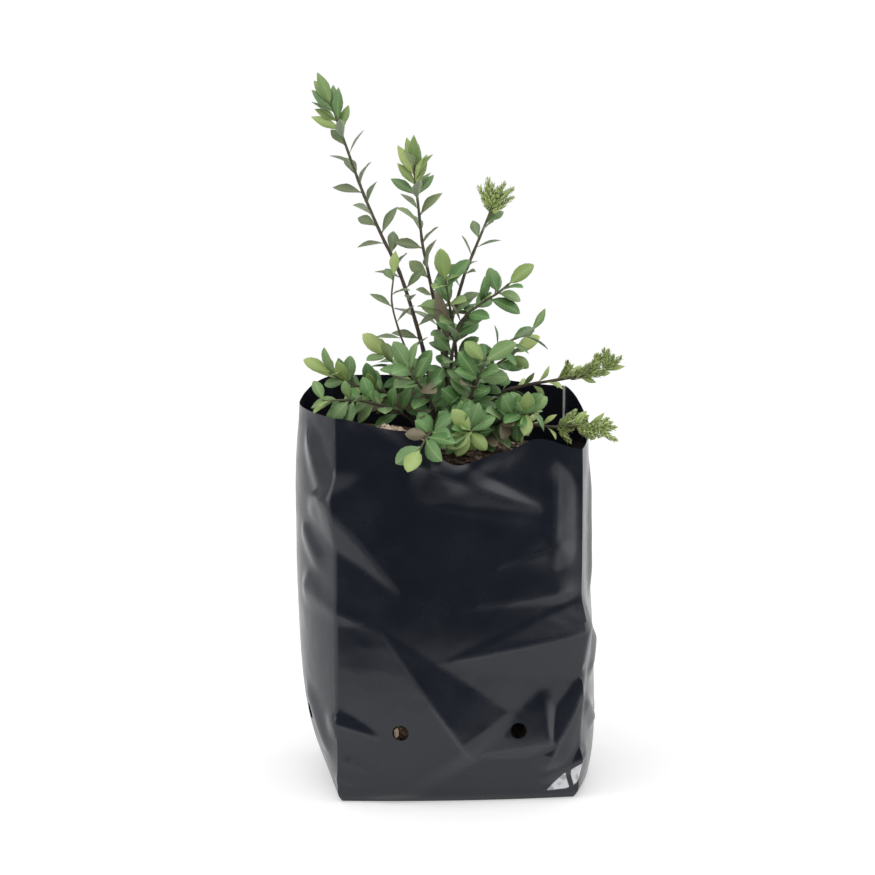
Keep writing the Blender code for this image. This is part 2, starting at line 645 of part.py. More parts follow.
def build_stem(stem, leaves, parts, material):
    """One skin over a square stem and the leaves that grow from its sides and its tip."""
    shoot = stem.shoot
    side_leaves = sorted((l for l in leaves if l[0] < stem.length), key=lambda l: l[0])
    tip = [l for l in leaves if l[0] >= stem.length]
    bm = bmesh.new()

    def ring(point, across, back, radius, twist):
        corners = (twist + math.pi / 2 * k - math.pi / 4 for k in range(4))
        return [bm.verts.new(point + (across * math.cos(a) + back * math.sin(a)) * radius * math.sqrt(2))
                for a in corners]

    def loft(corners, sections):
        for section in sections:
            ends = [bm.verts.new(point) for point in section]
            for i in range(4):
                j = (i + 1) % 4
                bm.faces.new((corners[i], corners[j], ends[j], ends[i]))
            corners = ends
        bm.faces.new(corners)

    def skin(low, high, leaf_side=None, sections=()):
        for k in range(4):
            quad = (low[k], low[(k + 1) % 4], high[(k + 1) % 4], high[k])
            if k == leaf_side:
                loft(quad, sections)
            else:
                bm.faces.new(quad)

    point, way, across, back, radius = stem.at(0)
    root = Vector((point.x, point.y, soil_height(point.x, point.y) - ROOT_DEPTH))
    twist, reached = 0.0, 0.0
    low = ring(root, across, back, radius, twist)
    bm.faces.new(list(reversed(low)))
    high = ring(point, across, back, radius, twist)
    skin(low, high)
    low = high
    half_band = LEAF_BAND / 2
    stops = []
    for distance, azimuth, leaf in side_leaves:
        if distance - reached > LEAF_BAND * 1.6 and distance < stem.length - LEAF_BAND:
            gap = distance - half_band - reached
            extra = int(gap / STEM_STEP)
            stops += [(reached + gap * (n + 1) / (extra + 1), None, None) for n in range(extra)]
            stops += [(distance - half_band, azimuth, None), (distance + half_band, azimuth, leaf)]
            reached = distance + half_band
    stops.append((stem.length, tip[0][1] if tip else None, None))
    for distance, azimuth, leaf in stops:
        if azimuth is not None and leaf is None:
            twist = turned_to(twist, azimuth)
        point, way, across, back, radius = stem.at(distance)
        high = ring(point, across, back, radius, twist)
        if leaf:
            facing = round((azimuth - twist) / (math.pi / 2)) % 4
            skin(low, high, facing, leaf_sections(*leaf))
        else:
            skin(low, high)
        low = high
    if tip:
        facing = round((tip[0][1] - twist) / (math.pi / 2))
        loft([low[(k + facing + 2) % 4] for k in range(4)], leaf_sections(*tip[0][2]))
    else:
        bm.faces.new(low)
    mesh = bpy.data.meshes.new(shoot.name)
    bm.to_mesh(mesh)
    bm.free()
    return object_of(shoot.name, mesh, parts, material)


def make_material(name):
    colour, roughness = MATERIALS[name]
    material = bpy.data.materials.new(name)
    material.use_nodes = True
    shader = material.node_tree.nodes["Principled BSDF"]
    shader.inputs["Base Color"].default_value = (*colour, 1)
    shader.inputs["Roughness"].default_value = roughness
    return material


def main():
    for obj in list(bpy.data.objects):
        bpy.data.objects.remove(obj)
    parts = bpy.data.collections.new("nursery_polybag")
    cutters = bpy.data.collections.new("cutters")
    for collection in (parts, cutters):
        bpy.context.scene.collection.children.link(collection)
    materials = {name: make_material(name) for name in MATERIALS}
    bag = make_bag(parts, cutters, materials["black_film"])
    soil = make_soil(parts, cutters, materials["potting_mix"])
    bpy.context.view_layer.update()
    stems = [Stem(shoot) for shoot in SHOOTS]
    leaves = grow_leaves(stems, [object_tree(bag), object_tree(soil)])
    for stem in stems:
        build_stem(stem, leaves[stem.shoot.name], parts, materials["leafy_stem"])


main()
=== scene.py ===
# %% [markdown]
# # A nursery polybag
#
# A nursery polybag is a bag of black film, blown as a tube, folded in at both sides and sealed
# across the bottom. Filled with potting mix it becomes a soft block with creases, a slumped rim
# and punched drainage holes. This one holds a clump of leafy stems. The lesson dresses plain
# solids, so it uses the rules that made them again, with finer steps.

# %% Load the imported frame
import json
import math
import random
from collections import namedtuple

import bmesh
import bpy
import numpy as np
from mathutils import Matrix, Vector, noise
from mathutils.bvhtree import BVHTree
from mathutils.kdtree import KDTree

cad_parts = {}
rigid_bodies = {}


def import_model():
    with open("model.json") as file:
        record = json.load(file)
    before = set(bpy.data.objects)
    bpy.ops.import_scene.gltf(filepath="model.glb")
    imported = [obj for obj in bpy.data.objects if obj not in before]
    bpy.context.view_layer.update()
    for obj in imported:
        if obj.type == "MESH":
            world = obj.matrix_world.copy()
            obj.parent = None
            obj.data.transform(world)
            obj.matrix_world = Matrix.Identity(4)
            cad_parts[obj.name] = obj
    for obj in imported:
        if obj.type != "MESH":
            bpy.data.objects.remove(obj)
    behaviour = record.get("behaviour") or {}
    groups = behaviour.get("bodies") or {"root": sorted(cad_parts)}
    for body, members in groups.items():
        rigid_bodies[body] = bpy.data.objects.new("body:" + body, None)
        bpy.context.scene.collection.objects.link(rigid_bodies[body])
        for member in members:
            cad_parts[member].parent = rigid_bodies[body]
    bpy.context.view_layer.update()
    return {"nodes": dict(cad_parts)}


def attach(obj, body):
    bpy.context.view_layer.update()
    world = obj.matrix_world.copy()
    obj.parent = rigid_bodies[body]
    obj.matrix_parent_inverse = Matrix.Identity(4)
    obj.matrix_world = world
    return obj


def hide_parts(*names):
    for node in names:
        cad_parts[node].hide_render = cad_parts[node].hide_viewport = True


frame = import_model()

MM = 0.001
print("solids in the frame:", len(frame["nodes"]))

# %% [markdown]
# ## The camera
#
# The camera stands a little to the left of the front and looks down by twelve degrees. Its lens
# follows from how many millimetres one pixel covers where the bag stands.

# %% Place the camera
CAMERA_AZIMUTH = math.radians(-3)
CAMERA_ELEVATION = math.radians(12)
CAMERA_DISTANCE = 1.3
CAMERA_AIM = Vector((-0.0087, 0, 0.187))
IMAGE_WIDTH = 875  # pixels
MM_PER_PIXEL = 0.533
SENSOR = 36.0  # millimetres


def add_to_scene(obj):
    bpy.context.scene.collection.objects.link(obj)
    return obj


def place_camera():
    back = Vector((math.sin(CAMERA_AZIMUTH) * math.cos(CAMERA_ELEVATION),
                   -math.cos(CAMERA_AZIMUTH) * math.cos(CAMERA_ELEVATION),
                   math.sin(CAMERA_ELEVATION)))
    camera = add_to_scene(bpy.data.objects.new("camera", bpy.data.cameras.new("camera")))
    camera.data.sensor_width = SENSOR
    camera.data.lens = SENSOR * CAMERA_DISTANCE / (IMAGE_WIDTH * MM_PER_PIXEL * MM)
    camera.location = CAMERA_AIM + back * CAMERA_DISTANCE
    camera.rotation_mode = "QUATERNION"
    camera.rotation_quaternion = (-back).to_track_quat("-Z", "Y")
    bpy.context.scene.camera = camera
    print("lens in millimetres:", round(camera.data.lens, 2))


place_camera()
bpy.context.scene.view_settings.view_transform = "Standard"

# %% [markdown]
# ## Small helpers for nodes
#
# A node tree reads like a sum when each step is one call. These helpers make a node, feed its
# sockets and give back its output.

# %% Node helpers


def put(tree, kind, **settings):
    node = tree.nodes.new(kind)
    for name, value in settings.items():
        setattr(node, name, value)
    return node


def feed(tree, socket, value):
    """Links an output to a socket, or sets the socket's own value."""
    if isinstance(value, bpy.types.NodeSocket):
        tree.links.new(value, socket)
    else:
        socket.default_value = value


def calc(tree, operation, *values):
    node = put(tree, "ShaderNodeMath", operation=operation)
    for socket, value in zip(node.inputs, values):
        feed(tree, socket, value)
    return node.outputs[0]


def ramp(tree, value, start, end, low=0.0, high=1.0):
    """Eases from low to high while value goes from start to end."""
    node = put(tree, "ShaderNodeMapRange", interpolation_type="SMOOTHSTEP")
    for name, number in (("Value", value), ("From Min", start), ("From Max", end),
                         ("To Min", low), ("To Max", high)):
        feed(tree, node.inputs[name], number)
    return node.outputs["Result"]


def mix_colours(tree, share, first, second):
    node = put(tree, "ShaderNodeMix", data_type="RGBA")
    for index, value in ((0, share), (6, first), (7, second)):
        feed(tree, node.inputs[index], value)
    return node.outputs[2]


def attribute(tree, name):
    return put(tree, "ShaderNodeAttribute", attribute_name=name).outputs["Fac"]


def colour(red, green, blue):
    """A colour given in the 0 to 255 values of a screen, as Blender's linear values."""
    values = [c / 255 for c in (red, green, blue)]
    return tuple(c / 12.92 if c <= 0.04045 else ((c + 0.055) / 1.055) ** 2.4 for c in values) + (1.0,)


def new_material(name, roughness):
    material = bpy.data.materials.new(name)
    material.use_nodes = True
    shader = material.node_tree.nodes["Principled BSDF"]
    shader.inputs["Roughness"].default_value = roughness
    return material, material.node_tree, shader


# %% [markdown]
# ## The studio
#
# Black film shows almost nothing but reflections, so the light is what draws its creases. A pale
# sweep of floor lights the lower bag from the front, and ends a little way before it. Beyond its
# edge the room is dim, and the walls to both sides and above are bright. The camera sees all of
# it as white. The room is dim towards the back as well, so that the bag reads the same there.

# %% Room light
# How bright the room looks in a reflection: in front and behind, to the left and to the right.
ROOM_DIM = 0.05
ROOM_LEFT = 0.68
ROOM_RIGHT = 2.4
ROOM_FILL = 0.8  # even light on everything
LAMP_AIM = Vector((0, 0, 0.15))


def make_room():
    world = bpy.data.worlds.new("studio")
    bpy.context.scene.world = world
    world.use_nodes = True
    tree = world.node_tree
    background = tree.nodes["Background"]
    parts = put(tree, "ShaderNodeSeparateXYZ")
    tree.links.new(put(tree, "ShaderNodeTexCoord").outputs["Generated"], parts.inputs[0])
    across, along, up = parts.outputs
    facing = ramp(tree, calc(tree, "ABSOLUTE", along), 0.55, 0.9)
    low = ramp(tree, up, 0.16, 0.5, 1.0, 0.0)
    dim = calc(tree, "MULTIPLY", facing, low)
    sides = ramp(tree, across, -0.5, 0.5, ROOM_LEFT, ROOM_RIGHT)
    keep = calc(tree, "SUBTRACT", 1.0, dim)
    gloss = calc(tree, "ADD", calc(tree, "MULTIPLY", sides, keep), calc(tree, "MULTIPLY", dim, ROOM_DIM))
    path = put(tree, "ShaderNodeLightPath")
    seen, glossy = path.outputs["Is Camera Ray"], path.outputs["Is Glossy Ray"]
    even = calc(tree, "MULTIPLY", calc(tree, "SUBTRACT", 1.0, glossy), ROOM_FILL)
    level = calc(tree, "ADD", calc(tree, "MULTIPLY", glossy, gloss), even)
    level = calc(tree, "ADD", calc(tree, "MULTIPLY", level, calc(tree, "SUBTRACT", 1.0, seen)), seen)
    feed(tree, background.inputs["Strength"], level)
    feed(tree, background.inputs["Color"], (1, 1, 1, 1))


def softbox(name, place, size, level):
    """A square lamp aimed at the bag; level is how bright its face looks."""
    lamp = bpy.data.lights.new(name, "AREA")
    lamp.size = size
    lamp.energy = level * math.pi * size * size
    obj = add_to_scene(bpy.data.objects.new(name, lamp))
    obj.location = place
    obj.rotation_mode = "QUATERNION"
    obj.rotation_quaternion = (LAMP_AIM - Vector(place)).to_track_quat("-Z", "Y")


make_room()
softbox("softbox_left", (-1.5, -0.55, 0.55), 0.9, 1.9)
softbox("softbox_right", (1.5, -0.2, 0.7), 0.8, 1.2)
softbox("softbox_above", (-0.2, -0.5, 1.7), 1.1, 1.7)

# %% Floor
FLOOR_FRONT = -0.26
FLOOR_GLOW = 0.34  # keeps the floor white in the picture and in the film
FLOOR_BACK = 1.2
FLOOR_SIDE = 1.1


def make_floor():
    corners = [(-FLOOR_SIDE, FLOOR_FRONT, 0), (FLOOR_SIDE, FLOOR_FRONT, 0),
               (FLOOR_SIDE, FLOOR_BACK, 0), (-FLOOR_SIDE, FLOOR_BACK, 0)]
    mesh = bpy.data.meshes.new("floor")
    mesh.from_pydata([(x, y, -0.0002) for x, y, _ in corners], [], [(0, 1, 2, 3)])
    floor = add_to_scene(bpy.data.objects.new("floor", mesh))
    material, tree, shader = new_material("floor_white", 0.9)
    shader.inputs["Base Color"].default_value = (0.8, 0.8, 0.8, 1)
    shader.inputs["Specular IOR Level"].default_value = 0.0
    shader.inputs["Emission Color"].default_value = (1, 1, 1, 1)
    path = put(tree, "ShaderNodeLightPath")
    seen = calc(tree, "ADD", path.outputs["Is Camera Ray"], path.outputs["Is Glossy Ray"])
    feed(tree, shader.inputs["Emission Strength"], calc(tree, "MULTIPLY", seen, FLOOR_GLOW))
    mesh.materials.append(material)


make_floor()

# %% [markdown]
# ## Grain
#
# Film, mix, leaves and bark all need fine uneven marks, each at its own scale. One node group
# makes them, with the scale and the contrast as its inputs.

# %% Grain group


def make_grain_group():
    group = bpy.data.node_groups.new("grain", "ShaderNodeTree")
    for name, low, value in (("Scale", 0.0, 100.0), ("Detail", 0.0, 4.0), ("Contrast", 0.0, 1.0)):
        socket = group.interface.new_socket(name, in_out="INPUT", socket_type="NodeSocketFloat")
        socket.default_value = value
        socket.min_value = low
    group.interface.new_socket("Value", in_out="OUTPUT", socket_type="NodeSocketFloat")
    source, sink = put(group, "NodeGroupInput"), put(group, "NodeGroupOutput")
    texture = put(group, "ShaderNodeTexNoise")
    place = put(group, "ShaderNodeTexCoord").outputs["Object"]
    feed(group, texture.inputs["Vector"], place)
    feed(group, texture.inputs["Scale"], source.outputs["Scale"])
    feed(group, texture.inputs["Detail"], source.outputs["Detail"])
    centred = calc(group, "SUBTRACT", texture.outputs["Fac"], 0.5)
    spread = calc(group, "MULTIPLY_ADD", centred, source.outputs["Contrast"], 0.5)
    feed(group, sink.inputs["Value"], calc(group, "MINIMUM", calc(group, "MAXIMUM", spread, 0.0), 1.0))
    return group


GRAIN = make_grain_group()


def grain(tree, scale, detail=4.0, contrast=1.0):
    node = put(tree, "ShaderNodeGroup", node_tree=GRAIN)
    for name, value in (("Scale", scale), ("Detail", detail), ("Contrast", contrast)):
        feed(tree, node.inputs[name], value)
    return node.outputs["Value"]


def bump(tree, shader, height, strength, distance):
    node = put(tree, "ShaderNodeBump")
    node.inputs["Strength"].default_value = strength
    node.inputs["Distance"].default_value = distance
    feed(tree, node.inputs["Height"], height)
    tree.links.new(node.outputs["Normal"], shader.inputs["Normal"])


# %% [markdown]
# ## The film's finish
#
# The film is nearly black, smooth and a little blue. Handling leaves a faint haze, and a sharp
# crease stretches the film until it turns greyish; along the crests the colour is lightened more, as a
# painted highlight. The mesh carries how strong this is in a point attribute, and another marks a few
# small facets painted nearly white, as painted highlights.

# %% Film material
FILM_BLACK = colour(17, 21, 31)
FILM_HAZE = colour(30, 34, 44)
# Grey along the crests: partly stress whitening of the film, partly a painted highlight.
FILM_CREASE_PALE_AND_HIGHLIGHT = colour(120, 122, 128)
# Nearly white: a painted highlight on a few small facets of the film.
FILM_PAINTED_HIGHLIGHT = colour(222, 222, 224)


def make_film_material():
    material, tree, shader = new_material("black_film", 0.3)
    haze = grain(tree, 26, 3, 2.0)
    base = mix_colours(tree, calc(tree, "MULTIPLY", haze, 0.45), FILM_BLACK, FILM_HAZE)
    # Lighter along the crests: stress whitening together with a painted highlight.
    creased_and_highlit = mix_colours(tree, attribute(tree, "whitening"), base, FILM_CREASE_PALE_AND_HIGHLIGHT)
    # A painted highlight, nearly white, on the listed facets, broken up a little by grain.
    highlight_grain = ramp(tree, grain(tree, 210, 4, 2.0), 0.2, 0.5, 0.55, 1.0)
    pale = calc(tree, "MULTIPLY", ramp(tree, attribute(tree, "scuffed"), 0.0, 0.5), highlight_grain)
    highlit = mix_colours(tree, pale, creased_and_highlit, FILM_PAINTED_HIGHLIGHT)
    feed(tree, shader.inputs["Base Color"], highlit)
    feed(tree, shader.inputs["Roughness"], ramp(tree, grain(tree, 60, 4, 1.6), 0.0, 1.0, 0.19, 0.31))
    bump(tree, shader, grain(tree, 240, 3, 1.0), 0.12, 0.0003)
    return material


BLACK_FILM = make_film_material()

# %% [markdown]
# ## The shape of the bag
#
# A place on the wall is a pair: p counts the four panels round the bag, and z is the height. The
# wall is a box with bulging sides. Creases are straight ridges laid over it, each with a crest and
# a slope to either side, because that is how stiff film folds: flat facets between sharp lines.

# %% Sizes of the bag
PANEL_WIDTH = 0.127
GUSSET_DEPTH = 0.096
BAG_HEIGHT = 0.214
FILM = 0.0002
FRONT_BULGE = 0.008
BACK_BULGE = 0.009
LEFT_BULGE = 0.0205
RIGHT_BULGE = 0.007
RIGHT_POUCH = 0.0055
BASE_TUCK = 0.002
BASE_RADIUS = 0.006
LEFT_RISE = 0.03
RIM_LIP = 0.0035
RIM_LIP_HEIGHT = 0.009
# Each pair is a value of p, and how far the rim hangs below the full height there.
RIM_DROPS = [(0.0, 0.007), (0.27, 0.013), (0.49, 0.030), (0.67, 0.024), (0.82, 0.018), (1.0, 0.024),
             (1.5, 0.0165), (2.0, 0.008), (2.5, 0.002), (3.0, 0.001), (3.5, 0.007), (4.0, 0.007)]
HOLE_DIAMETER = 0.0085
HOLE_HEIGHT = 0.041
HOLE_FROM_MIDDLE = 0.031

# %% Creases
# Millimetres: where a crest starts and ends (q is the way round the bag from the front left corner,
# z the height), how far it stands out, and how wide its slopes are to the left and the right.
Fold = namedtuple("Fold", "q0 z0 q1 z1 rise left right")
FRONT_FOLDS = [
    Fold(113, 192, 113, 118, 2.6, 13, 8),
    Fold(36, 164, 112, 149, 1.0, 12, 20),
    Fold(100, 8, 142, 29, 3.2, 8, 5),
]
RIGHT_FOLDS = [
    Fold(127, 58, 154, 32, 2.8, 8, 8),
    Fold(131, 64, 168, 86, 3.0, 9, 12),
    Fold(156, 190, 146, 96, 2.4, 9, 9),
    Fold(192, 150, 218, 104, 2.6, 10, 12),
]
BACK_FOLDS = [
    Fold(240, 188, 322, 158, 3.6, 12, 8),
    Fold(230, 128, 294, 112, 3.0, 14, 7),
    Fold(344, 140, 288, 84, 3.6, 10, 18),
    Fold(232, 78, 298, 50, 3.4, 16, 8),
    Fold(344, 58, 304, 22, 3.0, 9, 12),
    Fold(244, 30, 276, 12, 1.8, 6, 6),
]
LEFT_FOLDS = [
    Fold(421, 204, 446, 156, 2.8, 9, 10),
    Fold(416, 150, 441, 122, 2.2, 8, 9),
    Fold(412, 64, 442, 18, 2.4, 10, 9),
    Fold(362, 176, 386, 96, 3.0, 11, 13),
    Fold(358, 74, 394, 40, 2.6, 10, 10),
]
MAIN_FOLDS = FRONT_FOLDS + RIGHT_FOLDS + BACK_FOLDS + LEFT_FOLDS

# A wedge is a flat facet that runs out to a sharp tip: it starts at the tip (q0, z0) and is highest
# and widest at (q1, z1), mostly at a corner of the bag. The first stands out a millimetre more than in
# the solids, so that it catches the light as in the photograph.
WEDGES = [
    Fold(119, 154, 50, 180, 5.4, 20, 14),
    Fold(37, 110, -4, 163, 5.6, 20, 26),
    Fold(24, 95, -21, 113, 3.0, 13, 15),
    Fold(18, 101, 64, 34, 7.8, 32, 66),
    Fold(73, 126, 115, 140, 2.6, 12, 15),
    Fold(50, 107, 115, 115, 1.9, 14, 7),
    Fold(50, 78, 129, 94, 5.6, 19, 31),
    Fold(58, 25, 110, 33, 6.0, 32, 9),
    Fold(53, 26, -1, 44, 2.8, 12, 9),
    Fold(28, 10, 5, 22, 1.6, 5, 8),
    Fold(22, 4, 0, 13, 1.4, 5, 7),
    Fold(48, 186, 12, 206, 2.2, 9, 9),
    Fold(137, 86, 113, 25, 6.5, 12, 14),
]
WEDGE_FADE = 0.22  # past its wide end a wedge dies out over this share of its length
CREST_RADIUS = 1.1  # the film turns over a crest in about this many millimetres
VALLEY_FILL = 0.7  # between two facets it turns more gently; millimetres of height
ONCE_ROUND = 2 * (PANEL_WIDTH + GUSSET_DEPTH) / MM
print("folds:", len(MAIN_FOLDS), "wedges:", len(WEDGES))

# %% Height of the rim


def clamp(value, low=0.0, high=1.0):
    return np.clip(value, low, high)


def smooth(value):
    value = clamp(value)
    return value * value * (3 - 2 * value)


def rim_height(p):
    places, drops = (np.array(column) for column in zip(*RIM_DROPS))
    p = np.asarray(p) % 4
    i = np.clip(np.searchsorted(places, p, side="right") - 1, 0, len(places) - 2)
    t = smooth((p - places[i]) / (places[i + 1] - places[i]))
    return BAG_HEIGHT - (drops[i] + (drops[i + 1] - drops[i]) * t)


print("rim at the four corners, in millimetres:", [round(float(h) / MM) for h in rim_height(np.arange(4))])

# %% The wall without creases
CORNER_TURN = 0.08  # the share of a panel over which the way out turns at a corner


def tuck(z):
    return BASE_TUCK * (1 - clamp(z / BASE_RADIUS)) ** 2


def half_depth(z):
    return GUSSET_DEPTH / 2 * (0.92 + 0.1 * np.sin(math.pi * clamp(z / BAG_HEIGHT * 0.9 + 0.12)))


def left_bulge(z):
    return LEFT_BULGE * (1 - np.exp(-z / LEFT_RISE)) * (1 - 0.14 * smooth(z / BAG_HEIGHT * 4 - 3))


def right_bulge(z):
    pouch = RIGHT_POUCH * np.exp(-(((z - 0.18 * BAG_HEIGHT) / (0.35 * BAG_HEIGHT)) ** 2))
    return (RIGHT_BULGE + pouch) * (1 - 0.4 * np.exp(-z / 0.008))


def end_bulge(z, most):
    return most * (0.25 + 0.75 * np.sin(math.pi * clamp(z / BAG_HEIGHT * 0.93 + 0.04)))


def plain_wall(p, z, inset=0.0):
    """Points of the wall without creases, and the way out of the bag there."""
    panel = np.floor(p % 4).astype(int) % 4
    s = p % 1.0
    arc = 4 * s * (1 - s)
    across = PANEL_WIDTH / 2 - tuck(z) - inset
    deep = half_depth(z) - tuck(z) - inset
    x = np.choose(panel, [across * (2 * s - 1), across + right_bulge(z) * arc,
                          across * (1 - 2 * s), -across - left_bulge(z) * arc])
    y = np.choose(panel, [-deep - end_bulge(z, FRONT_BULGE) * arc, deep * (2 * s - 1),
                          deep + end_bulge(z, BACK_BULGE) * arc, deep * (1 - 2 * s)])
    outward = np.array([(0, -1, 0), (1, 0, 0), (0, 1, 0), (-1, 0, 0)], float)
    way = outward[panel]
    way = way + outward[(panel - 1) % 4] * clamp(1 - s / CORNER_TURN)[:, None]
    way = way + outward[(panel + 1) % 4] * clamp(1 - (1 - s) / CORNER_TURN)[:, None]
    return np.stack([x, y, z], 1), way / np.linalg.norm(way, axis=1)[:, None]


# %% [markdown]
# ## Creases laid over the wall
#
# Two distances tell how high a crease is at a place: how far along its crest the place lies, and how
# far beside it. Where creases overlap the highest counts, and the valley between two facets is filled
# a little, because film turns in a small curve there. The lip over the front is a soft swelling just
# under the rim.

# %% Along and beside a crease


def distance_round(p):
    """Millimetres round the bag from the front left corner."""
    starts = np.array([0, PANEL_WIDTH, PANEL_WIDTH + GUSSET_DEPTH, 2 * PANEL_WIDTH + GUSSET_DEPTH])
    widths = np.array([PANEL_WIDTH, GUSSET_DEPTH, PANEL_WIDTH, GUSSET_DEPTH])
    panel = np.floor(p % 4).astype(int) % 4
    return (starts[panel] + widths[panel] * (p % 1.0)) / MM


def from_crest(side):
    """Distance from a crest, rounded off close to it."""
    return np.sqrt(side * side + CREST_RADIUS**2) - CREST_RADIUS


def near_crest(side):
    return np.exp(-((side / CREST_RADIUS) ** 2))


def along_and_beside(fold, q, z):
    """How far each place lies along a crest, from 0 to 1, and how many millimetres to its left."""
    along_q, along_z = fold.q1 - fold.q0, fold.z1 - fold.z0
    length = math.hypot(along_q, along_z)
    t = ((q - fold.q0) * along_q + (z - fold.z0) * along_z) / length**2
    return t, ((z - fold.z0) * along_q - (q - fold.q0) * along_z) / length


# %% Rise of the creases


def fold_shape(fold, q, z):
    """How far one crease lifts the film, and how close each place is to its crest."""
    t, side = along_and_beside(fold, q, z)
    fade = smooth(np.minimum(t, 1 - t) / 0.3)
    width = np.where(side > 0, fold.left, fold.right) * (0.35 + 0.65 * fade)
    return fold.rise * fade * (1 - from_crest(side) / width), fade * near_crest(side)


def wedge_shape(wedge, q, z):
    """As fold_shape, for a wedge."""
    t, side = along_and_beside(wedge, q, z)
    width = np.where(side > 0, wedge.left, wedge.right)
    ending = smooth((1 + WEDGE_FADE - t) / WEDGE_FADE)
    return (wedge.rise * ending * (np.minimum(t, 1) - from_crest(side) / width),
            ending * smooth(t * 4) * near_crest(side))


def rounded_valley(first, second):
    """The higher of the two, with the valley where they meet filled a little."""
    share = clamp(0.5 + (second - first) / (2 * VALLEY_FILL))
    return first + (second - first) * share + VALLEY_FILL * share * (1 - share)


def creases(p, z):
    """The lift of all creases in metres, and how close each place lies to a crest, weighted by its rise;
    this lightens the film there, partly as stress whitening, partly as a painted highlight.
    """
    q, height = distance_round(p), z / MM
    lift, crest = np.zeros_like(q), np.zeros_like(q)
    shapes = [(fold_shape, fold) for fold in MAIN_FOLDS] + [(wedge_shape, wedge) for wedge in WEDGES]
    for shape, fold in shapes:
        for shift in (0, -ONCE_ROUND):
            rise, near = shape(fold, q + shift, height)
            crest = np.maximum(crest, near * (rise >= lift) * fold.rise / 4)
            lift = rounded_valley(lift, rise)
    return lift * MM * smooth(z / BASE_RADIUS), crest


def rim_roll(p, z):
    spread = (p % 4 - 0.56) / 0.17
    drop = (rim_height(p) - z) / RIM_LIP_HEIGHT
    return RIM_LIP * np.exp(-spread * spread - drop * drop)


middle_lift, _ = creases(np.full(50, 0.5), np.linspace(0.0, 0.19, 50))
print("most lift down the middle of the front, in millimetres:", round(float(middle_lift.max()) / MM, 1))

# %% [markdown]
# ## The film
#
# The bag is a fine net of points on the wall's rules. A round hole needs round edges, so the net
# is first drawn into circles where the drainage holes are, and the faces inside are left out. The
# small unevenness between the creases comes from noise. Solidify gives the film its thickness.

# %% Corner facets with a painted highlight
FAR_INSIDE = 99.0  # millimetres, more than any place lies inside a facet
FAR_OUTSIDE = -9.0  # the value where no pale facet is near
# Two facets under the rolled lower right corner, one to each side of the corner, and a thin strip
# down the back right corner get a painted highlight, nearly white. Each is a row of places (q, z).
HIGHLIGHT_FACETS = [
    [(109.5, 5), (122.5, 6), (119.5, 16.5)],
    [(124.5, 6.5), (138, 27), (121.5, 17.5)],
    [(221.9, 181), (224.1, 181), (224.1, 208), (221.9, 208)],
]


def depth_in_facets(q, z):
    """Millimetres inside the nearest facet with a painted highlight, below zero outside."""
    deepest = np.full_like(q, FAR_OUTSIDE)
    for corners in HIGHLIGHT_FACETS:
        inside = np.full_like(q, FAR_INSIDE)
        for (q0, z0), (q1, z1) in zip(corners, corners[1:] + corners[:1]):
            away = ((z - z0) * (q1 - q0) - (q - q0) * (z1 - z0)) / math.hypot(q1 - q0, z1 - z0)
            inside = np.minimum(inside, away)
        deepest = np.maximum(deepest, inside)
    return deepest


# %% The film's net and its holes
FILM_COLUMNS = (96, 52, 60, 52)
FILM_ROWS = 150
HOLE_CELLS = 3  # the net's cells from the middle of a hole to its edge
HOLE_REACH = 7  # the cells over which the net is drawn in


def film_net():
    """Values of p for each column, and of the share of the rim's height for each row."""
    columns = np.array([panel + i / n for panel, n in enumerate(FILM_COLUMNS) for i in range(n)])
    foot = np.array([0, 0.004, 0.009, 0.015, 0.022])
    rows = np.concatenate([foot, np.linspace(0.03, 1, FILM_ROWS)])
    p, share = np.meshgrid(columns, rows)
    return p, share * rim_height(p)


def hole_places():
    """The middle of each drainage hole, as p and z."""
    from_corner = (PANEL_WIDTH / 2 - HOLE_FROM_MIDDLE)
    gap = {0: from_corner / PANEL_WIDTH, 1: from_corner / GUSSET_DEPTH}
    return [(panel + s, HOLE_HEIGHT) for panel in range(4) for s in (gap[panel % 2], 1 - gap[panel % 2])]


def draw_holes(p, z):
    """Draws the net into circles round the holes; returns it and the faces to leave out."""
    rows, columns = p.shape
    out = np.zeros((rows, columns), bool)
    for hole_p, hole_z in hole_places():
        width = (PANEL_WIDTH, GUSSET_DEPTH)[int(hole_p) % 2]
        column = int(np.argmin(np.abs(p[0] - hole_p)))
        row = int(np.argmin(np.abs(z[:, column] - hole_z)))
        near = tuple(slice(middle - HOLE_REACH, middle + HOLE_REACH + 1) for middle in (row, column))
        down, across = np.mgrid[-HOLE_REACH:HOLE_REACH + 1, -HOLE_REACH:HOLE_REACH + 1]
        ring = np.maximum(np.abs(down), np.abs(across))
        side, height = (p[near] - p[row, column]) * width, z[near] - z[row, column]
        far = np.maximum(np.hypot(side, height), 1e-9)
        round_by = HOLE_DIAMETER / 2 * ring / HOLE_CELLS / far
        share = smooth((HOLE_REACH - ring) / (HOLE_REACH - HOLE_CELLS))
        grow = 1 + (round_by - 1) * share
        p[near] = p[row, column] + (hole_p - p[row, column]) * share + side * grow / width
        z[near] = z[row, column] + (hole_z - z[row, column]) * share + height * grow
        out[row - HOLE_CELLS:row + HOLE_CELLS, column - HOLE_CELLS:column + HOLE_CELLS] = True
    return p, z, out


print("drainage holes:", len(hole_places()))

# %% Points of the film
CRUMPLE = 0.0004


def uneven(point, scale, seed):
    return noise.noise(Vector(point) * scale + Vector((seed, 2 * seed, 3 * seed)))


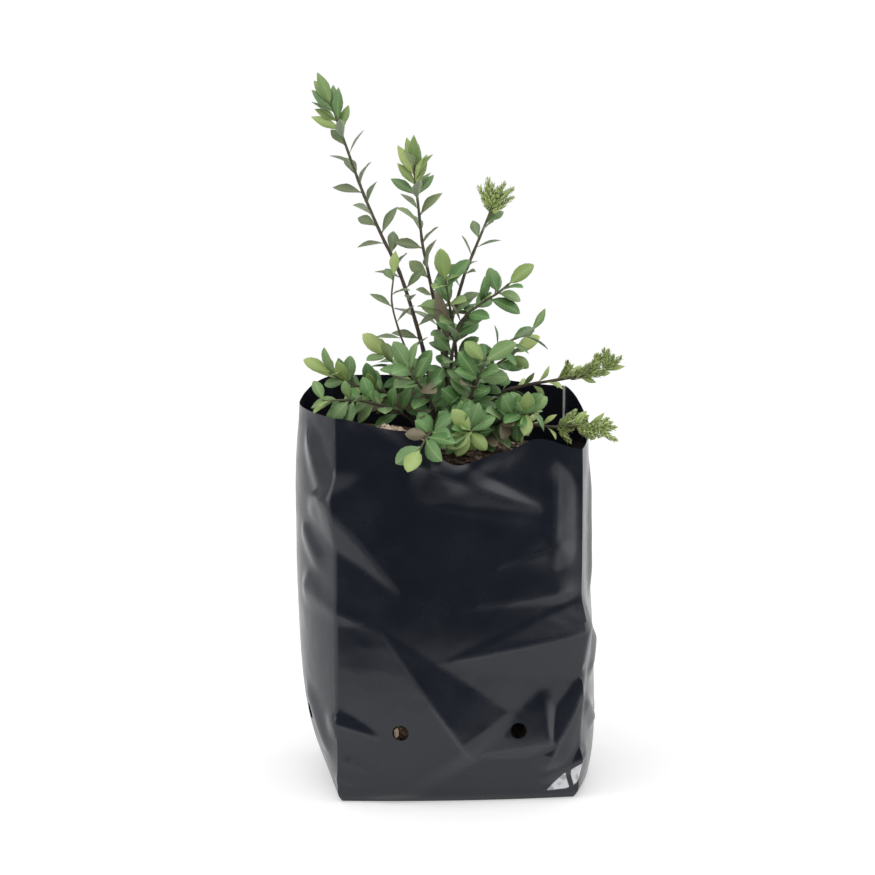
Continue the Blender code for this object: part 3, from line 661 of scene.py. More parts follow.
def film_points(p, z):
    flat, way = plain_wall(p, z)
    lift, crest = creases(p, z)
    crumple = np.array([uneven(v, 34, 1) + 0.25 * (1 - 2 * abs(uneven(v, 80, 2))) for v in flat])
    lift = lift + rim_roll(p, z) + CRUMPLE * crumple * smooth(z / 0.012)
    return flat + way * lift[:, None], crest


# %% Mesh helpers


def ring_faces(first, second):
    """Faces between two closed rings of points, each given as a list of point numbers."""
    count = len(first)
    return [(first[k], first[(k + 1) % count], second[(k + 1) % count], second[k]) for k in range(count)]


def attribute_on(mesh, name, values):
    layer = mesh.attributes.new(name, "FLOAT", "POINT")
    layer.data.foreach_set("value", np.asarray(values, np.float32))


def plain_mesh(obj, name):
    """The evaluated object as a plain mesh in a new object; the old one is removed."""
    bpy.context.view_layer.update()
    graph = bpy.context.evaluated_depsgraph_get()
    mesh = bpy.data.meshes.new_from_object(obj.evaluated_get(graph), preserve_all_data_layers=True,
                                           depsgraph=graph)
    mesh.name = name
    bpy.data.objects.remove(obj)
    return add_to_scene(bpy.data.objects.new(name, mesh))


def finish_piece(piece, slot, *nodes):
    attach(piece, "root")
    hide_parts(*nodes)


# %% Film mesh
# How strongly the crests are lightened, partly as stress whitening, partly as a painted highlight.
CREST_WHITENING_AND_HIGHLIGHT = 0.08
BASE_RINGS = (0.8, 0.5, 0.2)
FILM_EDGE_ANGLE = math.radians(45)  # sharper edges, as at the rim, aren't shaded smooth


def make_film():
    p, z, out = draw_holes(*film_net())
    rows, columns = p.shape
    points, crest = film_points(p.ravel(), z.ravel())
    rings = np.arange(rows * columns).reshape(rows, columns).tolist()
    faces = [face for r in range(rows - 1)
             for c, face in enumerate(ring_faces(rings[r], rings[r + 1])) if not out[r, c]]
    points, crest = list(points), list(crest)
    outer = rings[0]
    for share in BASE_RINGS:
        inner = [len(points) + c for c in range(columns)]
        points += [np.array((points[c][0] * share, points[c][1] * share, 0.0)) for c in range(columns)]
        crest += [0.0] * columns
        faces += ring_faces(inner, outer)
        outer = inner
    points.append(np.zeros(3))
    crest.append(0.0)
    faces += [(outer[(c + 1) % columns], outer[c], len(points) - 1) for c in range(columns)]
    mesh = bpy.data.meshes.new("film")
    mesh.from_pydata([tuple(v) for v in points], [], faces)
    # Crest lightening of the film: stress whitening and a painted highlight along the crests.
    attribute_on(mesh, "whitening", np.array(crest) * CREST_WHITENING_AND_HIGHLIGHT)
    # Where the film gets a painted highlight, nearly white.
    pale = np.full(len(points), FAR_OUTSIDE)
    pale[:rows * columns] = depth_in_facets(distance_round(p.ravel()), z.ravel() / MM)
    attribute_on(mesh, "scuffed", pale)
    mesh.materials.append(BLACK_FILM)
    bm = bmesh.new()
    bm.from_mesh(mesh)
    bmesh.ops.delete(bm, geom=[v for v in bm.verts if not v.link_faces], context="VERTS")
    bm.to_mesh(mesh)
    bm.free()
    sheet = add_to_scene(bpy.data.objects.new("film_sheet", mesh))
    thick = sheet.modifiers.new("thickness", "SOLIDIFY")
    thick.thickness = FILM
    thick.offset = -1
    film = plain_mesh(sheet, "film")
    film.data.shade_smooth()
    film.data.set_sharp_from_angle(angle=FILM_EDGE_ANGLE)
    return film


film = make_film()
finish_piece(film, "black_film", "film_bag")
print("film faces:", len(film.data.polygons))

# %% [markdown]
# ## The potting mix
#
# The mix is a block as wide as the bag is inside, with a rough crumbly top. Its top is a net of
# rings lifted by three sizes of noise. Behind the right drainage hole some of it has fallen away, and
# there the mix is painted nearly black as shade.

# %% Mix material
MIX_DARK = colour(38, 28, 22)
MIX_BROWN = colour(84, 66, 52)
MIX_FIBRE = colour(134, 112, 88)
# Painted shade: the mix in the hollow behind the right drainage hole is painted nearly black.
MIX_PAINTED_SHADE = colour(9, 8, 9)


def make_mix_material():
    material, tree, shader = new_material("potting_mix", 0.95)
    crumbs = grain(tree, 240, 6, 2.2)
    base = mix_colours(tree, crumbs, MIX_DARK, MIX_BROWN)
    # Painted shade in the hollow: the mix turns nearly black there and loses its pale fibres.
    base = mix_colours(tree, attribute(tree, "hollow"), base, MIX_PAINTED_SHADE)
    fibres = calc(tree, "MULTIPLY", ramp(tree, grain(tree, 640, 3, 2.4), 0.72, 0.9),
                  calc(tree, "SUBTRACT", 1.0, attribute(tree, "hollow")))
    feed(tree, shader.inputs["Base Color"], mix_colours(tree, fibres, base, MIX_FIBRE))
    shader.inputs["Specular IOR Level"].default_value = 0.25
    bump(tree, shader, crumbs, 0.8, 0.0012)
    return material


POTTING_MIX = make_mix_material()

# %% Level of the mix
HEADSPACE = 0.029
SOIL_LEVEL = BAG_HEIGHT - HEADSPACE
SOIL_SLOPE_X = -0.12
SOIL_SLOPE_Y = -0.08
SOIL_FREEBOARD = 0.003
HEAP_HEIGHT = 0.009  # a heap of mix against the left half of the front
HEAP_PLACE = (-0.036, -0.040)
HEAP_REACH = (0.024, 0.012)


def soil_height(x, y):
    off_x, off_y = (x - HEAP_PLACE[0]) / HEAP_REACH[0], (y - HEAP_PLACE[1]) / HEAP_REACH[1]
    heap = HEAP_HEIGHT * np.exp(-off_x * off_x - off_y * off_y)
    return SOIL_LEVEL + SOIL_SLOPE_X * x + SOIL_SLOPE_Y * y + heap


print("level of the mix in the middle, in millimetres:", round(float(soil_height(0, 0)) / MM, 1))

# %% Mix mesh
GAP = 0.0004
SOIL_COLUMNS = (48, 36, 40, 36)
SOIL_ROWS = 34
SOIL_TOP_RINGS = 30
SOIL_SETTLED = 0.0006  # the crumbs lie this much lower than the level
HOLLOW_RADIUS = 0.0065  # the mix has fallen away behind the right front hole
HOLLOW_DEPTH = 0.008


def make_mix():
    inset = FILM + GAP
    around = np.array([panel + i / n for panel, n in enumerate(SOIL_COLUMNS) for i in range(n)])
    top = rim_height(around) - SOIL_FREEBOARD
    at_edge, _ = plain_wall(around, top)
    top = np.minimum(top, soil_height(at_edge[:, 0], at_edge[:, 1]) - SOIL_FREEBOARD / 2)
    rings = [plain_wall(around, np.zeros_like(around), inset)[0] + (0, 0, inset)]
    for t in np.linspace(0.02, 1, SOIL_ROWS):
        rings.append(plain_wall(around, np.maximum(t * top, 2 * inset), inset)[0])
    edge = rings[-1]
    for share in np.linspace(0.985, 0.04, SOIL_TOP_RINGS):
        ring = edge * share
        level = soil_height(ring[:, 0], ring[:, 1])
        rough = np.array([1.9 * uneven(v, 90, 3) + 1.2 * uneven(v, 210, 4) + 0.7 * uneven(v, 520, 5)
                          for v in ring]) * MM
        ring[:, 2] = edge[:, 2] + (level - edge[:, 2]) * smooth((1 - share) / 0.3)
        ring[:, 2] += rough * smooth((1 - share) / 0.05) - SOIL_SETTLED
        rings.append(ring)
    numbers = np.arange(len(rings) * len(around)).reshape(len(rings), -1).tolist()
    faces = [face for lower, upper in zip(numbers, numbers[1:]) for face in ring_faces(lower, upper)]
    faces += [tuple(reversed(numbers[0])), tuple(numbers[-1])]
    points = np.concatenate(rings)
    off = np.hypot(points[:, 0] - HOLE_FROM_MIDDLE, points[:, 2] - HOLE_HEIGHT) / HOLLOW_RADIUS
    hollow = np.exp(-off**4) * (points[:, 1] < -0.03)
    points[:, 1] += HOLLOW_DEPTH * hollow
    mesh = bpy.data.meshes.new("mix")
    mesh.from_pydata([tuple(v) for v in points], [], faces)
    # The material reads this to paint shade, nearly black, into the hollow.
    attribute_on(mesh, "hollow", hollow)
    mesh.materials.append(POTTING_MIX)
    mesh.shade_smooth()
    return add_to_scene(bpy.data.objects.new("mix_block", mesh))


mix = make_mix()
print("mix faces:", len(mix.data.polygons))

# %% [markdown]
# ## Leaves
#
# A leaf is channelled along the midrib and bent back towards the tip. Broad leaves share an oval
# form and narrow ones a lance form, each made at four bends as a small closed blade, and there is a
# tiny needle for the feathery tips. The mesh carries how far along and across the blade each point
# lies, and the material draws the veins from that.

# %% Leaf and bark materials
LEAF_DARK = colour(56, 88, 40)
LEAF_MID = colour(86, 132, 68)
LEAF_SEA = colour(110, 144, 92)
LEAF_LIGHT = colour(142, 166, 94)
LEAF_YOUNG = colour(190, 208, 130)
LEAF_AGED = colour(124, 128, 102)
LEAF_UNDER = colour(152, 160, 138)
LEAF_DRY = colour(116, 102, 84)
LEAF_VEIN = colour(164, 182, 124)
BARK_BROWN = colour(78, 66, 56)
BARK_GREEN = colour(96, 98, 68)


def make_leaf_material():
    material, tree, shader = new_material("leaf_green", 0.5)
    tint = attribute(tree, "tint")
    green = mix_colours(tree, ramp(tree, tint, 0.0, 0.35), LEAF_DARK, LEAF_MID)
    green = mix_colours(tree, ramp(tree, tint, 0.3, 0.6), green, LEAF_SEA)
    green = mix_colours(tree, ramp(tree, tint, 0.55, 0.8), green, LEAF_LIGHT)
    green = mix_colours(tree, ramp(tree, tint, 0.78, 1.0), green, LEAF_YOUNG)
    across, along = attribute(tree, "across"), attribute(tree, "along")
    rib = ramp(tree, calc(tree, "ABSOLUTE", across), 0.0, 0.14, 0.5, 0.0)
    slant = calc(tree, "SUBTRACT", along, calc(tree, "MULTIPLY", calc(tree, "ABSOLUTE", across), 0.16))
    wave = calc(tree, "SINE", calc(tree, "MULTIPLY", slant, 62.0))
    veins = ramp(tree, wave, 0.75, 1.0, 0.0, 0.22)
    green = mix_colours(tree, calc(tree, "MAXIMUM", rib, veins), green, LEAF_VEIN)
    patchy = calc(tree, "MULTIPLY", grain(tree, 180, 3, 1.8), 0.15)
    green = mix_colours(tree, patchy, green, LEAF_DARK)
    green = mix_colours(tree, attribute(tree, "aged"), green, LEAF_AGED)
    under = mix_colours(tree, calc(tree, "MULTIPLY", attribute(tree, "under"), 0.6), green, LEAF_UNDER)
    feed(tree, shader.inputs["Base Color"], mix_colours(tree, attribute(tree, "dry"), under, LEAF_DRY))
    feed(tree, shader.inputs["Roughness"], ramp(tree, grain(tree, 300, 2, 1.4), 0, 1, 0.42, 0.62))
    relief = calc(tree, "ADD", calc(tree, "MULTIPLY", veins, 2.0), grain(tree, 900, 3))
    bump(tree, shader, relief, 0.35, 0.0002)
    return material


def make_bark_material():
    material, tree, shader = new_material("stem_bark", 0.75)
    young = ramp(tree, attribute(tree, "tint"), 0.45, 1.0)
    base = mix_colours(tree, young, BARK_BROWN, BARK_GREEN)
    marks = grain(tree, 700, 5, 2.0)
    darker = calc(tree, "MULTIPLY", marks, 0.5)
    feed(tree, shader.inputs["Base Color"], mix_colours(tree, darker, base, MIX_DARK))
    bump(tree, shader, marks, 0.5, 0.0003)
    return material


LEAF_GREEN = make_leaf_material()
STEM_BARK = make_bark_material()

# %% Leaf forms
LEAF_BENDS = (5, 13, 21, 29)  # degrees
OVAL_LEAF = ((0.0, 0.10), (0.08, 0.16), (0.22, 0.60), (0.42, 0.93),
             (0.60, 1.0), (0.80, 0.80), (0.93, 0.44), (1.0, 0.06))
LANCE_LEAF = ((0.0, 0.12), (0.09, 0.18), (0.24, 0.56), (0.44, 0.92),
              (0.58, 1.0), (0.76, 0.74), (0.91, 0.34), (1.0, 0.04))
NEEDLE = ((0.0, 0.4), (0.35, 1.0), (0.75, 0.7), (1.0, 0.08))
LEAF_ACROSS = (-1.0, 0.0, 1.0)
LEAF_LIFT = 0.075  # how far the edges rise above the midrib, as a share of the length
LEAF_THICK = 0.010  # from the middle to a face, at the midrib


def make_leaf_form(name, bend, profile, collection):
    """A closed blade one unit long along Y and one wide along X, face up."""
    bend = math.radians(bend)
    verts, marks = [], []
    for top in (True, False):
        for share, wide in profile:
            angle = bend * share
            y, z = share * math.cos(angle / 2), -share * math.sin(angle / 2)
            for side in LEAF_ACROSS:
                lift = LEAF_LIFT * wide * abs(side) ** 1.5
                thick = LEAF_THICK * (1 - 0.75 * abs(side))
                verts.append((side * wide / 2, y, z + lift + (thick if top else -thick)))
                marks.append((share, side * wide, 0.0 if top else 1.0))
    across, rows = len(LEAF_ACROSS), len(profile)
    low = across * rows
    faces = []
    for r in range(rows - 1):
        for c in range(across - 1):
            a = r * across + c
            faces.append((a, a + 1, a + across + 1, a + across))
            faces.append((low + a, low + a + across, low + a + across + 1, low + a + 1))
    rim = [r * across for r in range(rows)]
    rim += [(rows - 1) * across + c for c in range(1, across)]
    rim += [r * across + across - 1 for r in range(rows - 2, -1, -1)]
    rim += list(range(across - 2, 0, -1))
    for i, a in enumerate(rim):
        b = rim[(i + 1) % len(rim)]
        faces.append((a, b, low + b, low + a))
    mesh = bpy.data.meshes.new(name)
    mesh.from_pydata(verts, [], faces)
    for index, label in enumerate(("along", "across", "under")):
        attribute_on(mesh, label, [m[index] for m in marks])
    bm = bmesh.new()
    bm.from_mesh(mesh)
    bmesh.ops.recalc_face_normals(bm, faces=bm.faces)
    bm.to_mesh(mesh)
    bm.free()
    mesh.shade_smooth()
    collection.objects.link(bpy.data.objects.new(name, mesh))


leaf_forms = bpy.data.collections.new("leaf_forms")
for number, (profile, bend) in enumerate((s, b) for s in (OVAL_LEAF, LANCE_LEAF) for b in LEAF_BENDS):
    make_leaf_form(f"leaf_form_{number}", bend, profile, leaf_forms)
NEEDLE_FORM = len(leaf_forms.objects)
make_leaf_form(f"leaf_form_{NEEDLE_FORM}", 10, NEEDLE, leaf_forms)

# %% [markdown]
# ## Where the stems run
#
# Each stem rises from its root and follows a few chosen points. The leaves of the solids were
# placed by a rule with a few tries each, so the same rule is played again here, and the try that
# the solid holds is the one whose leaf tip is a corner of it.

# %% Routes of the stems
# Lengths are in millimetres and angles in degrees. A root is x and y, and each point of a route has its
# height above the level of the mix. The leaves start at a share of the stem's length. Pitch is the angle
# between the stem and its first leaves, tip_pitch that of the last, turn the angle round the stem from
# one leaf to the next, and light is how far the blades turn to the light.
Leaves = namedtuple("Leaves", "start count length width pitch tip_pitch turn first light")
Shoot = namedtuple("Shoot", "name root route thick thin leaves")
SHOOTS = [
    Shoot("stem_tall_left", (-9, 4),
          [(-15, 5, 44), (-27, 6, 86), (-38, 7, 110),
           (-47, 8, 131), (-56, 9, 156), (-64, 10, 180)], 2.4, 1.2,
          Leaves(0.28, 25, 16.0, 6.2, 62, 28, 137, 190, 0.45)),
    Shoot("stem_thin_left", (-16, -5),
          [(-22, -6, 40), (-29, -7, 60), (-33, -7, 76), (-32, -6, 90)], 1.3, 0.9,
          Leaves(0.5, 6, 13.0, 5.4, 66, 50, 165, 20, 0.3)),
    Shoot("stem_middle", (-2, 8),
          [(-6, 10, 50), (-12, 11, 84), (-16, 11, 104), (-18, 11, 122), (-21, 11, 148)], 2.2, 1.2,
          Leaves(0.4, 21, 16.5, 6.4, 60, 28, 137, 160, 0.45)),
    Shoot("stem_right", (-4, -1),
          [(-4, -1, 50), (4, 1, 84), (10, 2, 100), (21, 3, 126)], 2.6, 1.2,
          Leaves(0.42, 14, 13.0, 5.4, 64, 30, 137, 330, 0.45)),
    Shoot("stem_right_low", (3, -6),
          [(-2, -8, 42), (4, -9, 66), (13, -10, 75), (22, -11, 81), (28, -12, 86)], 2.2, 1.2,
          Leaves(0.36, 13, 16.5, 8.4, 60, 36, 137, 200, 0.6)),
    Shoot("stem_arching_right", (8, -11),
          [(10, -14, 36), (16, -15, 48), (25, -16, 55), (34, -17, 59), (41, -17, 62)], 1.8, 0.9,
          Leaves(0.34, 12, 14.5, 4.6, 62, 30, 137, 90, 0.35)),
    Shoot("runner_left", (-19, 3),
          [(-27, 1, 21), (-39, -2, 28), (-50, -5, 31), (-59, -7, 35), (-66, -8, 39)], 1.8, 1.0,
          Leaves(0.28, 15, 15.5, 7.4, 58, 30, 137, 30, 0.6)),
    Shoot("runner_left_low", (-19, -11),
          [(-26, -17, 17), (-39, -23, 24), (-51, -28, 28), (-62, -32, 29), (-70, -33, 29)], 1.8, 1.0,
          Leaves(0.24, 15, 15.5, 7.8, 58, 34, 137, 80, 0.7)),
    Shoot("stem_back_left", (-12, 14),
          [(-19, 15, 22), (-28, 16, 36), (-36, 16, 44)], 1.8, 1.1,
          Leaves(0.3, 8, 16.5, 8.6, 56, 32, 137, 200, 0.6)),
    Shoot("stem_front_left", (-9, -17),
          [(-13, -20, 24), (-20, -24, 36), (-25, -27, 45)], 1.8, 1.1,
          Leaves(0.26, 11, 17.0, 9.0, 62, 36, 137, 120, 0.7)),
    Shoot("stem_front_right", (2, -19),
          [(6, -22, 24), (11, -26, 38), (15, -28, 50)], 1.8, 1.1,
          Leaves(0.26, 11, 17.0, 9.0, 62, 34, 137, 60, 0.7)),
    Shoot("stem_front", (-4, -25),
          [(-3, -29, 9), (2, -36, 13), (7, -43, 14)], 1.6, 1.0,
          Leaves(0.26, 9, 16.0, 8.6, 60, 34, 137, 20, 0.7)),
    Shoot("stem_centre", (3, 3),
          [(2, 1, 34), (0, -3, 58), (-3, -6, 76), (-5, -8, 88)], 2.0, 1.1,
          Leaves(0.3, 13, 17.0, 8.8, 58, 32, 137, 300, 0.6)),
    Shoot("stem_right_front", (11, -19),
          [(18, -25, 13), (29, -30, 19), (40, -34, 22)], 1.8, 1.1,
          Leaves(0.24, 12, 16.5, 8.6, 60, 34, 137, 158, 0.7)),
    Shoot("stem_right_back", (9, 8),
          [(13, 9, 24), (22, 9, 38), (33, 8, 46)], 1.8, 1.1,
          Leaves(0.26, 10, 16.0, 8.2, 60, 34, 137, 240, 0.6)),
    Shoot("runner_right", (13, 15),
          [(23, 17, 20), (38, 18, 26), (54, 17, 29), (70, 15, 32), (82, 13, 35)], 2.2, 1.2,
          Leaves(0.34, 18, 11.0, 3.6, 50, 24, 137, 180, 0.5)),
    Shoot("runner_right_low", (14, -5),
          [(24, -10, 11), (40, -19, 12), (54, -25, 12), (66, -29, 13), (74, -31, 12)], 2.0, 1.1,
          Leaves(0.3, 17, 11.0, 3.6, 50, 24, 137, 180, 0.6)),
    Shoot("runner_front", (-12, -25),
          [(-12, -33, 9), (-14, -43, 14), (-17, -52, 13), (-21, -59, 8)], 1.5, 1.0,
          Leaves(0.56, 4, 15.5, 9.0, 56, 26, 180, 0, 0.6)),
]
print("stems:", len(SHOOTS))

# %% The middle line of a stem
ROOT_DEPTH = 0.014
PEG_STUB = 0.003


def curve_point(points, place):
    """Catmull-Rom curve through the points; place runs from 0 to 1."""
    last = len(points) - 1
    i = min(int(place * last), last - 1)
    t = place * last - i
    before = points[i - 1] if i else points[0] - Vector((0, 0, (points[1] - points[0]).length))
    after = points[i + 2] if i + 2 <= last else 2 * points[last] - points[last - 1]
    a, b = points[i], points[i + 1]
    return 0.5 * (2 * a + (b - before) * t + (2 * before - 5 * a + 4 * b - after) * t * t
                  + (3 * a - before - 3 * b + after) * t**3)


class Stem:
    """A stem's middle line, measured along its length, with a frame that turns with it."""

    def __init__(self, shoot):
        self.shoot = shoot
        x, y = (v * MM for v in shoot.root)
        route = [Vector((x, y, soil_height(x, y) + PEG_STUB))]
        route += [Vector((a * MM, b * MM, SOIL_LEVEL + c * MM)) for a, b, c in shoot.route]
        steps = 24 * (len(route) - 1)
        self.points = [curve_point(route, i / steps) for i in range(steps + 1)]
        self.lengths = [0.0]
        for a, b in zip(self.points, self.points[1:]):
            self.lengths.append(self.lengths[-1] + (b - a).length)
        self.length = self.lengths[-1]
        self.ways, self.sides = [Vector((0, 0, 1))], [Vector((1, 0, 0))]
        for a, b in zip(self.points, self.points[1:]):
            way = (b - a).normalized()
            self.sides.append(self.ways[-1].rotation_difference(way) @ self.sides[-1])
            self.ways.append(way)

    def at(self, distance):
        """Point, direction, side and back vectors, and radius at a distance along the stem."""
        distance = max(0.0, min(self.length, distance))
        i = 0
        while i < len(self.lengths) - 2 and self.lengths[i + 1] < distance:
            i += 1
        t = (distance - self.lengths[i]) / (self.lengths[i + 1] - self.lengths[i])
        point = self.points[i].lerp(self.points[i + 1], t)
        way = self.ways[i].lerp(self.ways[i + 1], t).normalized()
        side = self.sides[i].lerp(self.sides[i + 1], t)
        side = (side - way * side.dot(way)).normalized()
        radius = (self.shoot.thick + (self.shoot.thin - self.shoot.thick) * distance / self.length) / 2
        return point, way, side, way.cross(side), radius * MM


stems = [Stem(shoot) for shoot in SHOOTS]
print("longest stem in millimetres:", round(max(s.length for s in stems) / MM))

# %% The leaf rule of the solids
TRY_TURNS = (0, 32, -32, 64, -64, 100, -100)  # degrees round the stem, one for each try
TIP_CROWDING = 1.3
LIGHT_WAY = (-0.15, -0.75, 0.62)


def leaf_try(stem, spec, index, attempt):
    """Where and how one leaf grows. Each attempt turns, tilts and shortens it a little more."""
    draw = random.Random(1000 * len(stem.shoot.name) + 37 * index + int(spec.first))
    share = index / spec.count
    spread = draw.uniform(-0.3, 0.3)
    crowded = 1 - (1 - share) ** TIP_CROWDING
    along = crowded + spread / spec.count * (index > 0)
    point, way, across, back, radius = stem.at(stem.length * (spec.start + (1 - spec.start) * along))
    azimuth = math.radians(spec.first + spec.turn * index + draw.uniform(-16, 16) + TRY_TURNS[attempt])
    pitch = spec.pitch + (spec.tip_pitch - spec.pitch) * share**1.5 + draw.uniform(-9, 9)
    pitch = math.radians(pitch)
    scale = (1 - 0.06 * attempt) * draw.uniform(0.82, 1.12)
    outward = across * math.cos(azimuth) + back * math.sin(azimuth)
    leaf_way = way * math.cos(pitch) + outward * math.sin(pitch)
    stem_side = (way - leaf_way * way.dot(leaf_way)).normalized()
    light = Vector(LIGHT_WAY)
    light = (light - leaf_way * light.dot(leaf_way)).normalized()
    normal = (stem_side * (1 - spec.light) + light * spec.light).normalized()
    twist = math.radians(draw.uniform(-38, 38))
    normal = normal * math.cos(twist) + normal.cross(leaf_way) * math.sin(twist)
    bend = math.radians(draw.uniform(4, 30))
    return (point + outward * radius, leaf_way, normal, spec.length * MM * scale,
            spec.width * MM * scale, bend)


def tip_leaf(stem, spec, attempt):
    """The leaf that ends the stem."""
    point, way, across, back, radius = stem.at(stem.length)
    light = Vector(LIGHT_WAY)
    angle = math.atan2(light.dot(back), light.dot(across)) + math.radians(30 * attempt)
    normal = across * math.cos(angle) + back * math.sin(angle)
    scale = 1.0 - 0.07 * attempt
    return (point, way, normal, spec.length * MM * scale, spec.width * MM * scale, math.radians(8))


# %% Leaves that the solids hold
SOLID_LEAF_THICK = 0.0006
SOLID_LEAF_END = 0.62  # how thick the solid leaf is at its end, as a share
SAME_PLACE = 0.00008  # a corner of the solid is the leaf's own if it lies this close


def leaf_end(leaf):
    """The top corner at the solid leaf's end."""
    base, way, normal, length, width, bend = leaf
    middle = base + way * (length * math.cos(bend / 2)) - normal * (length * math.sin(bend / 2))
    up = normal * math.cos(bend) + way * math.sin(bend)
    return middle + up * (SOLID_LEAF_THICK / 2 * SOLID_LEAF_END)


def corners_of(node):
    mesh = frame["nodes"][node].data
    tree = KDTree(len(mesh.vertices))
    for vertex in mesh.vertices:
        tree.insert(vertex.co, vertex.index)
    tree.balance()
    return tree


def solid_leaves(stem):
    """The leaves that the stem's solid holds, each with its share of the way along the stem."""
    corners, spec, found = corners_of(stem.shoot.name), stem.shoot.leaves, []
    for index in range(spec.count + 1):
        for attempt in range(len(TRY_TURNS)):
            tip = index == spec.count
            leaf = tip_leaf(stem, spec, attempt) if tip else leaf_try(stem, spec, index, attempt)
            if corners.find(leaf_end(leaf))[2] < SAME_PLACE:
                found.append((index / spec.count, leaf))
                break
    return found


matched = {stem.shoot.name: solid_leaves(stem) for stem in stems}
asked = sum(stem.shoot.leaves.count + 1 for stem in stems)
print("leaves found in the solids:", sum(len(l) for l in matched.values()), "of", asked)

# %% [markdown]
# ## One tree for everything small
#
# The clump has hundreds of leaves and the mix hundreds of flakes, all made from a few forms. So their
# places are loose points that carry the turn, the size and the number of the form, and one Geometry
# Nodes tree puts the form on each point, with the stem or the mix beside it. The tree makes the copies
# real, so that each piece ends as one plain mesh.

# %% Forms on points, by Geometry Nodes


def make_form_tree():
    """Places a form on each point, turned and sized by the point's attributes, beside a base."""
    tree = bpy.data.node_groups.new("forms_on_points", "GeometryNodeTree")
    for name, kind in (("Geometry", "NodeSocketGeometry"), ("Forms", "NodeSocketCollection"),
                       ("Size", "NodeSocketFloat"), ("Finish", "NodeSocketMaterial"),
                       ("Base", "NodeSocketObject")):
        tree.interface.new_socket(name, in_out="INPUT", socket_type=kind)
    tree.interface.new_socket("Geometry", in_out="OUTPUT", socket_type="NodeSocketGeometry")
    source, sink = put(tree, "NodeGroupInput"), put(tree, "NodeGroupOutput")

    def named(name, kind):
        node = put(tree, "GeometryNodeInputNamedAttribute", data_type=kind)
        node.inputs["Name"].default_value = name
        return node.outputs["Attribute"]

    points = put(tree, "GeometryNodeMeshToPoints")
    feed(tree, points.inputs["Mesh"], source.outputs["Geometry"])
    forms = put(tree, "GeometryNodeCollectionInfo")
    feed(tree, forms.inputs["Collection"], source.outputs["Forms"])
    feed(tree, forms.inputs["Separate Children"], True)
    feed(tree, forms.inputs["Reset Children"], True)
    turn = put(tree, "FunctionNodeEulerToRotation")
    feed(tree, turn.inputs["Euler"], named("turned", "FLOAT_VECTOR"))
    sized = put(tree, "ShaderNodeVectorMath", operation="SCALE")
    feed(tree, sized.inputs[0], named("sized", "FLOAT_VECTOR"))
    feed(tree, sized.inputs["Scale"], source.outputs["Size"])
    placed = put(tree, "GeometryNodeInstanceOnPoints")
    for name, value in (("Points", points.outputs["Points"]), ("Instance", forms.outputs["Instances"]),
                        ("Pick Instance", True), ("Instance Index", named("form", "INT")),
                        ("Rotation", turn.outputs["Rotation"]), ("Scale", sized.outputs["Vector"])):
        feed(tree, placed.inputs[name], value)
    real = put(tree, "GeometryNodeRealizeInstances")
    feed(tree, real.inputs["Geometry"], placed.outputs["Instances"])
    coated = put(tree, "GeometryNodeSetMaterial")
    feed(tree, coated.inputs["Geometry"], real.outputs["Geometry"])
    feed(tree, coated.inputs["Material"], source.outputs["Finish"])
    base = put(tree, "GeometryNodeObjectInfo", transform_space="ORIGINAL")
    feed(tree, base.inputs["Object"], source.outputs["Base"])
    joined = put(tree, "GeometryNodeJoinGeometry")
    tree.links.new(coated.outputs["Geometry"], joined.inputs[0])
    tree.links.new(base.outputs["Geometry"], joined.inputs[0])
    feed(tree, sink.inputs[0], joined.outputs[0])
    return tree


FORM_TREE = make_form_tree()
print("nodes in the tree:", len(FORM_TREE.nodes))

# %% Points for the tree
POINT_KINDS = {"turned": ("FLOAT_VECTOR", "vector"), "sized": ("FLOAT_VECTOR", "vector"),
               "form": ("INT", "value")}


def set_input(modifier, name, value):
    """Sets a modifier's input by its socket's identifier."""
    for item in modifier.node_group.interface.items_tree:
        if item.item_type == "SOCKET" and item.in_out == "INPUT" and item.name == name:
            modifier[item.identifier] = value


def loose_points(places, columns):
    """An object of loose points, with a named attribute for each column of values."""
    mesh = bpy.data.meshes.new("points")
    mesh.from_pydata(places, [], [])
    for name, values in columns.items():
        kind, key = POINT_KINDS.get(name, ("FLOAT", "value"))
        mesh.attributes.new(name, kind, "POINT").data.foreach_set(key, values)
    return add_to_scene(bpy.data.objects.new("points", mesh))


def with_forms(points, forms, finish, base, name):
    """One plain piece: the base with a form on each point. The points and the base are used up."""
    modifier = points.modifiers.new("forms", "NODES")
    modifier.node_group = FORM_TREE
    for label, value in (("Forms", forms), ("Size", 1.0), ("Finish", finish), ("Base", base)):
        set_input(modifier, label, value)
    piece = plain_mesh(points, name)
    bpy.data.objects.remove(base)
    return piece


# %% [markdown]
# ## Walls that nothing passes through
#
# A leaf or a flake that pokes through the film would show from outside. A search tree of the faces of
# the film and of the mix tells quickly whether a straight line meets them.

# %% Walls


def wall_tree(obj):
    return BVHTree.FromPolygons([v.co.copy() for v in obj.data.vertices],
                                [tuple(f.vertices) for f in obj.data.polygons])


film_wall, mix_wall = wall_tree(film), wall_tree(mix)
print("faces in the walls:", len(film.data.polygons) + len(mix.data.polygons))


def meets_wall(leaf):
    """True if the leaf's middle line or either edge passes through the film or the mix."""
    base, way, normal, length, width, bend = leaf
    side = normal.cross(way) * width / 2
    for shift in (Vector((0, 0, 0)), side, -side):
        start = base + way * length * 0.2
        end = base + way * length * 0.75 + shift
        ray = end - start
        for wall in (film_wall, mix_wall):
            if wall.ray_cast(start, ray.normalized(), ray.length * 1.4)[0]:
                return True
    return False


# %% [markdown]
# ## Bark and wood on the mix
#
# Flakes of dark bark lie all over the mix, and a few of pale wood on the heap behind the front rim.
# The same tree that places leaves places them, each turned and sized by chance. One has worked its
# way into the left drainage hole.

